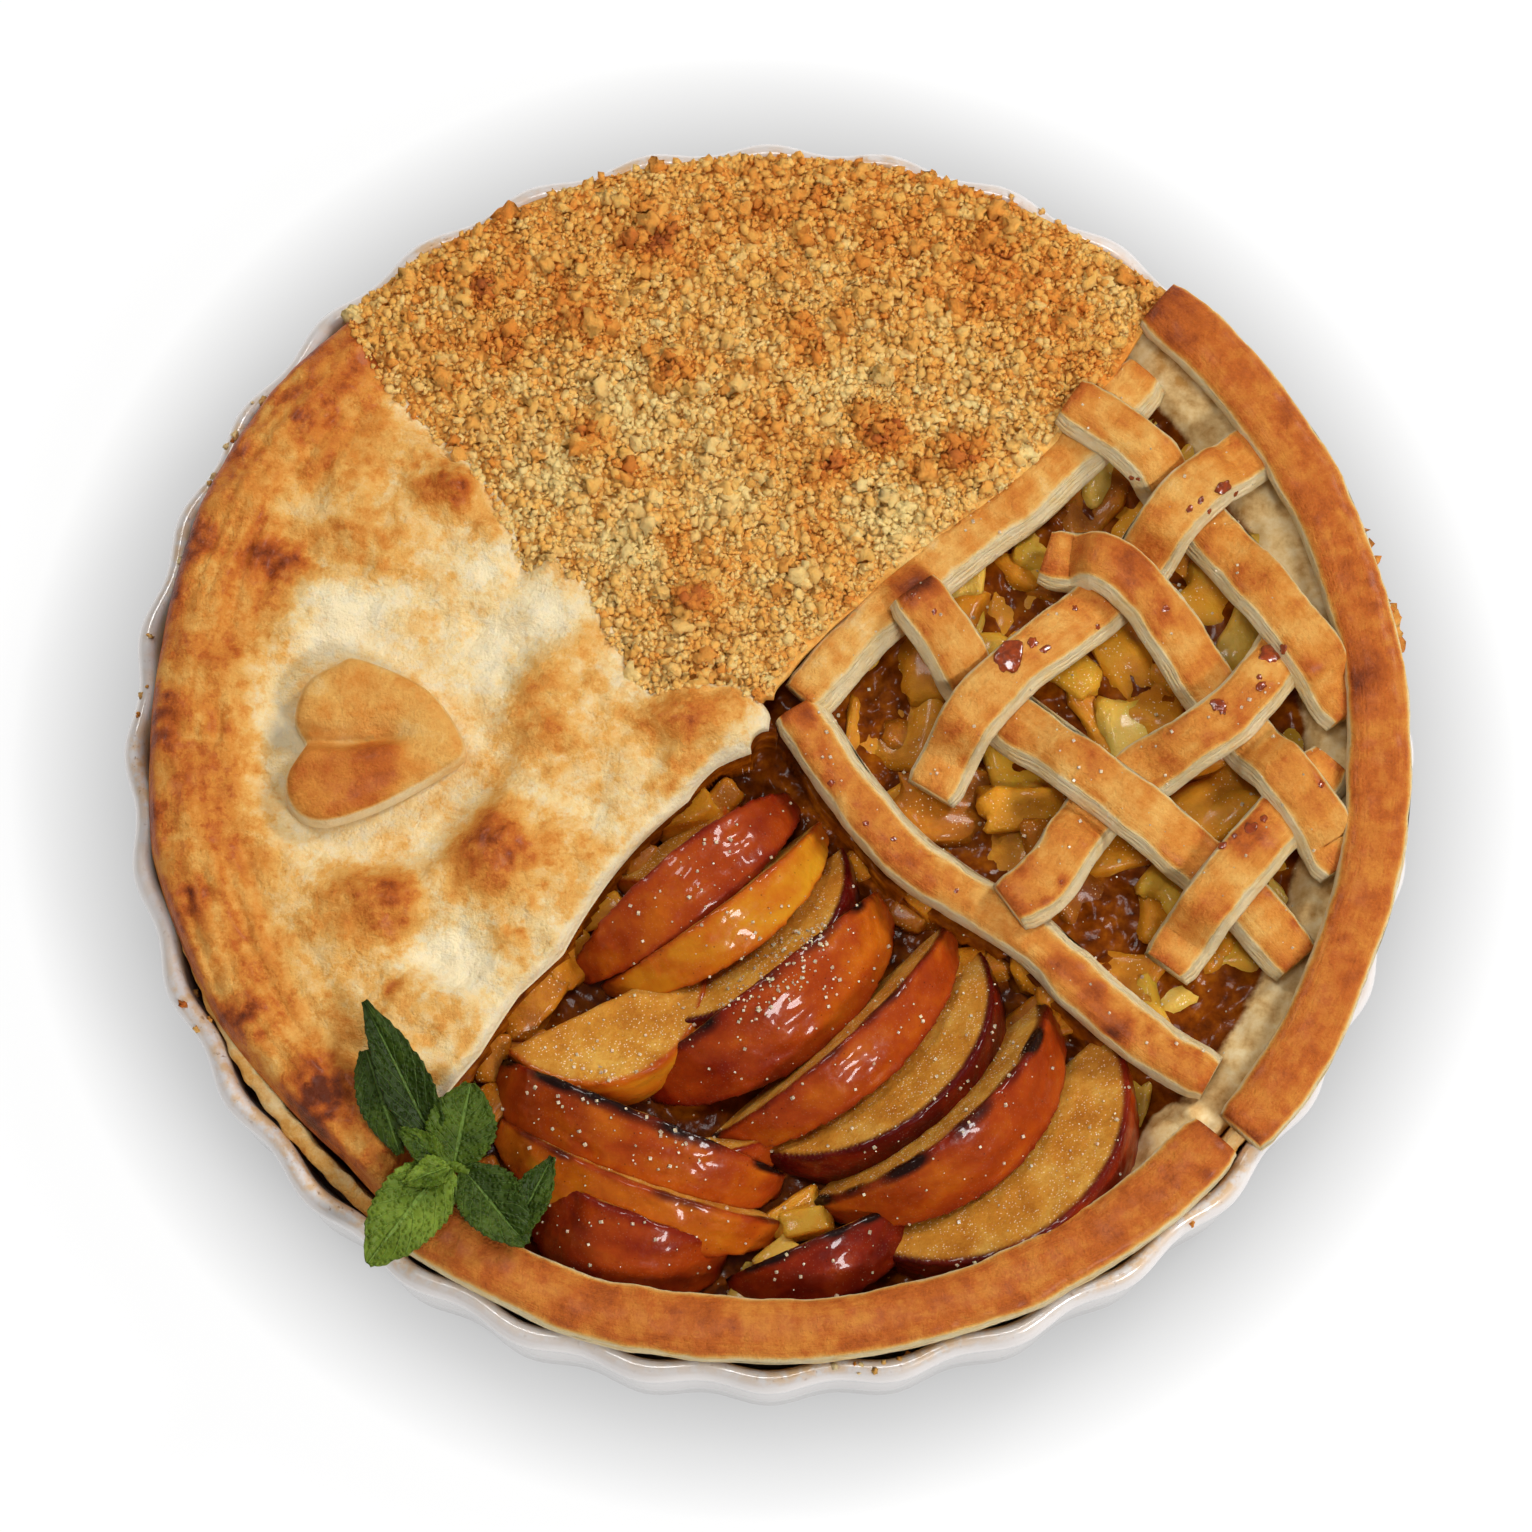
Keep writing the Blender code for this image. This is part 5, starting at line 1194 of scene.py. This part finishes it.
def makeMint():
    bm = bmesh.new()
    paintLayers(bm, "along", "side", "tone")
    for number, leaf in enumerate(sprig["leaves"]):
        makeLeaf(bm, *leaf, number)
    leaves = addPiece("mintLeaves", bm, mintLeaf, ["mint_sprig"])
    route = smoothRoute(sprig["stem"], 24)
    bm = bmesh.new()
    ring = bmesh.ops.create_circle(bm, segments=16, radius=sprig["stemRadius"])["verts"]
    ahead = (route[1] - route[0]).normalized()
    turn = Vector((0, 0, 1)).rotation_difference(ahead).to_matrix().to_4x4()
    bmesh.ops.transform(bm, matrix=Matrix.Translation(route[0]) @ turn, verts=ring)
    edges = bm.edges[:]
    bm.faces.new(ring)
    for a, b in zip(route, route[1:]):
        edges, verts = drawnOut(bm, edges)
        bmesh.ops.translate(bm, verts=verts, vec=b - a)
    bmesh.ops.holes_fill(bm, edges=edges)
    tone, side = paintLayers(bm, "tone", "side")
    for vert in bm.verts:
        vert[tone] = 0.7
        vert[side] = 0.5
    stem = addPiece("mintStem", bm, mintLeaf)
    return leaves, stem


# Bits of dough and crumble on the lip of the dish

lipBits = {
    "count": 70, "seed": 31, "shapeSeed": 9, "rough": 0.5, "reach": (134.5, 139.2),
    "clusters": [(-128, 55, 6), (-118, 74, 5), (-124, -60, 6), (104, 90, 5), (134, 34, 4), (-137, 10, 5),
                 (96, -98, 5), (20, -136, 5), (60, 123, 6)],
    "lumps": [(128.8, 47, 45), (130.4, 44.5, 45.4), (132, 41.5, 44.6), (128.2, 49, 44.2), (135, 30.3, 46.2),
              (136, 27.8, 46.6), (136.2, 25.6, 46), (134.4, 33, 45), (137, 22.8, 45.2)],
}


def makeLipBits(ground):
    draw = random.Random(lipBits["seed"])
    spots = []
    while len(spots) < lipBits["count"]:
        cx, cy, spread = draw.choice(lipBits["clusters"])
        x, y = draw.gauss(cx, spread), draw.gauss(cy, spread)
        if not lipBits["reach"][0] < math.hypot(x, y) < lipBits["reach"][1]:
            continue
        hit = drop(ground, x, y)[0]
        if hit:
            size = draw.uniform(0.7, 2.0)
            spots.append(((x, y, hit.z + 0.15 * size), size, 0.6, draw.uniform(0.1, 0.6)))
    for place in lipBits["lumps"]:
        spots.append((place, draw.uniform(3.0, 4.6), 0.55, draw.uniform(0.5, 0.66)))
    scatterBalls("lipBits", spots, 2, casePastry, lipBits["rough"], lipBits["shapeSeed"])


# Everything in order

porcelain = makeDish()
caseWall = makeCase()
makeLipBits(treeOf(porcelain, caseWall))
lidSheet = makeLid()
makeHeart()
bed = makeCrumble()
bars = makeStrips()
makeCrumbs(bed, lidSheet, bars[0])
fruitBed = makeFruitBed()
chunks = makeChunks()
wedges = [makeSlice("wedge" + name.title().replace("_", ""), [name], *form, number)
          for number, (name, form) in enumerate(slices["wedges"].items())]
wedges += [makeSlice(name, [], *form, 20 + number)
           for number, (name, form) in enumerate(slices["tucked"].items())]
makeSugar(treeOf(*wedges, chunks, fruitBed, *bars))
makeGlaze(treeOf(*bars))
makeMint()


# Floor, light and camera

studio = {
    "floorGlow": 0.88, "floorSize": 3.0,
    "lamps": [  # name, place and target in metres, size, power, colour
        ("backLeft", (-0.8, 0.7, 1.2), (0, 0, 0), 0.4, 5.5, (1, 0.99, 0.97)),
        ("backRight", (0.85, 0.6, 1.0), (0, 0, 0), 0.35, 9, (1, 0.985, 0.96)),
        ("frontRight", (0.8, -0.9, 1.1), (0, 0, 0), 0.4, 13, (1, 1, 1)),
        ("overhead", (0, 0.15, 1.9), (0, 0, 0), 0.35, 4.8, (1, 1, 1)),
    ],
    "sky": (1, 1, 1), "skyPower": 0.17,
    "aim": (-0.65, -3.75, 42), "elevation": 75.5, "distance": 1400, "lens": 150.95,
}


def makeStudio():
    bm = bmesh.new()
    bmesh.ops.create_grid(bm, x_segments=1, y_segments=1, size=studio["floorSize"] / 2)
    mesh = bpy.data.meshes.new("paleFloor")
    bm.to_mesh(mesh)
    bm.free()
    floor = putIn("paleFloor", mesh)
    floor.location.z = -0.0002
    paint = Finish("paleFloor", Roughness=0.9, Specular_IOR_Level=0.0,
                   Emission_Strength=studio["floorGlow"])
    # The floor glows with its own colour, and the ramp paints a grey shadow halo round the dish that fades to white
    # further out.
    place = paint.node("ShaderNodeMapping", inputs={"Vector": paint.at(), "Location": (0, -0.007, 0)})
    away = paint.node("ShaderNodeVectorMath", {"operation": "LENGTH"}, {0: place}, "Value")
    shade = paint.ramp((away - 0.139) * 32.0, [(0.0, 196, 196, 196), (1.0, 255, 255, 255)])
    mesh.materials.append(paint.done(Base_Color=paint.mix(0.86, shade, (0, 0, 0, 1)), Emission_Color=shade))
    for name, place, target, size, power, colour in studio["lamps"]:
        light = bpy.data.lights.new(name, "AREA")
        light.shape = "DISK"
        light.size = size
        light.energy = power
        light.color = colour
        lamp = putIn(name, light)
        lamp.location = place
        lamp.rotation_euler = (Vector(place) - Vector(target)).to_track_quat("Z", "Y").to_euler()
    world = bpy.data.worlds.new("studioSky")
    world.use_nodes = True
    sky = world.node_tree.nodes["Background"]
    sky.inputs["Color"].default_value = (*studio["sky"], 1)
    sky.inputs["Strength"].default_value = studio["skyPower"]
    bpy.context.scene.world = world
    view = bpy.data.cameras.new("photoView")
    view.sensor_width = 36
    view.lens = studio["lens"]
    view.clip_start = 0.05
    camera = putIn("photoView", view)
    tilt = math.radians(studio["elevation"])
    away = Vector((0, -math.cos(tilt), math.sin(tilt)))
    camera.location = (Vector(studio["aim"]) + away * studio["distance"]) * mm
    camera.rotation_euler = away.to_track_quat("Z", "Y").to_euler()
    bpy.context.scene.camera = camera
    bpy.context.scene.view_settings.view_transform = "Standard"


makeStudio()
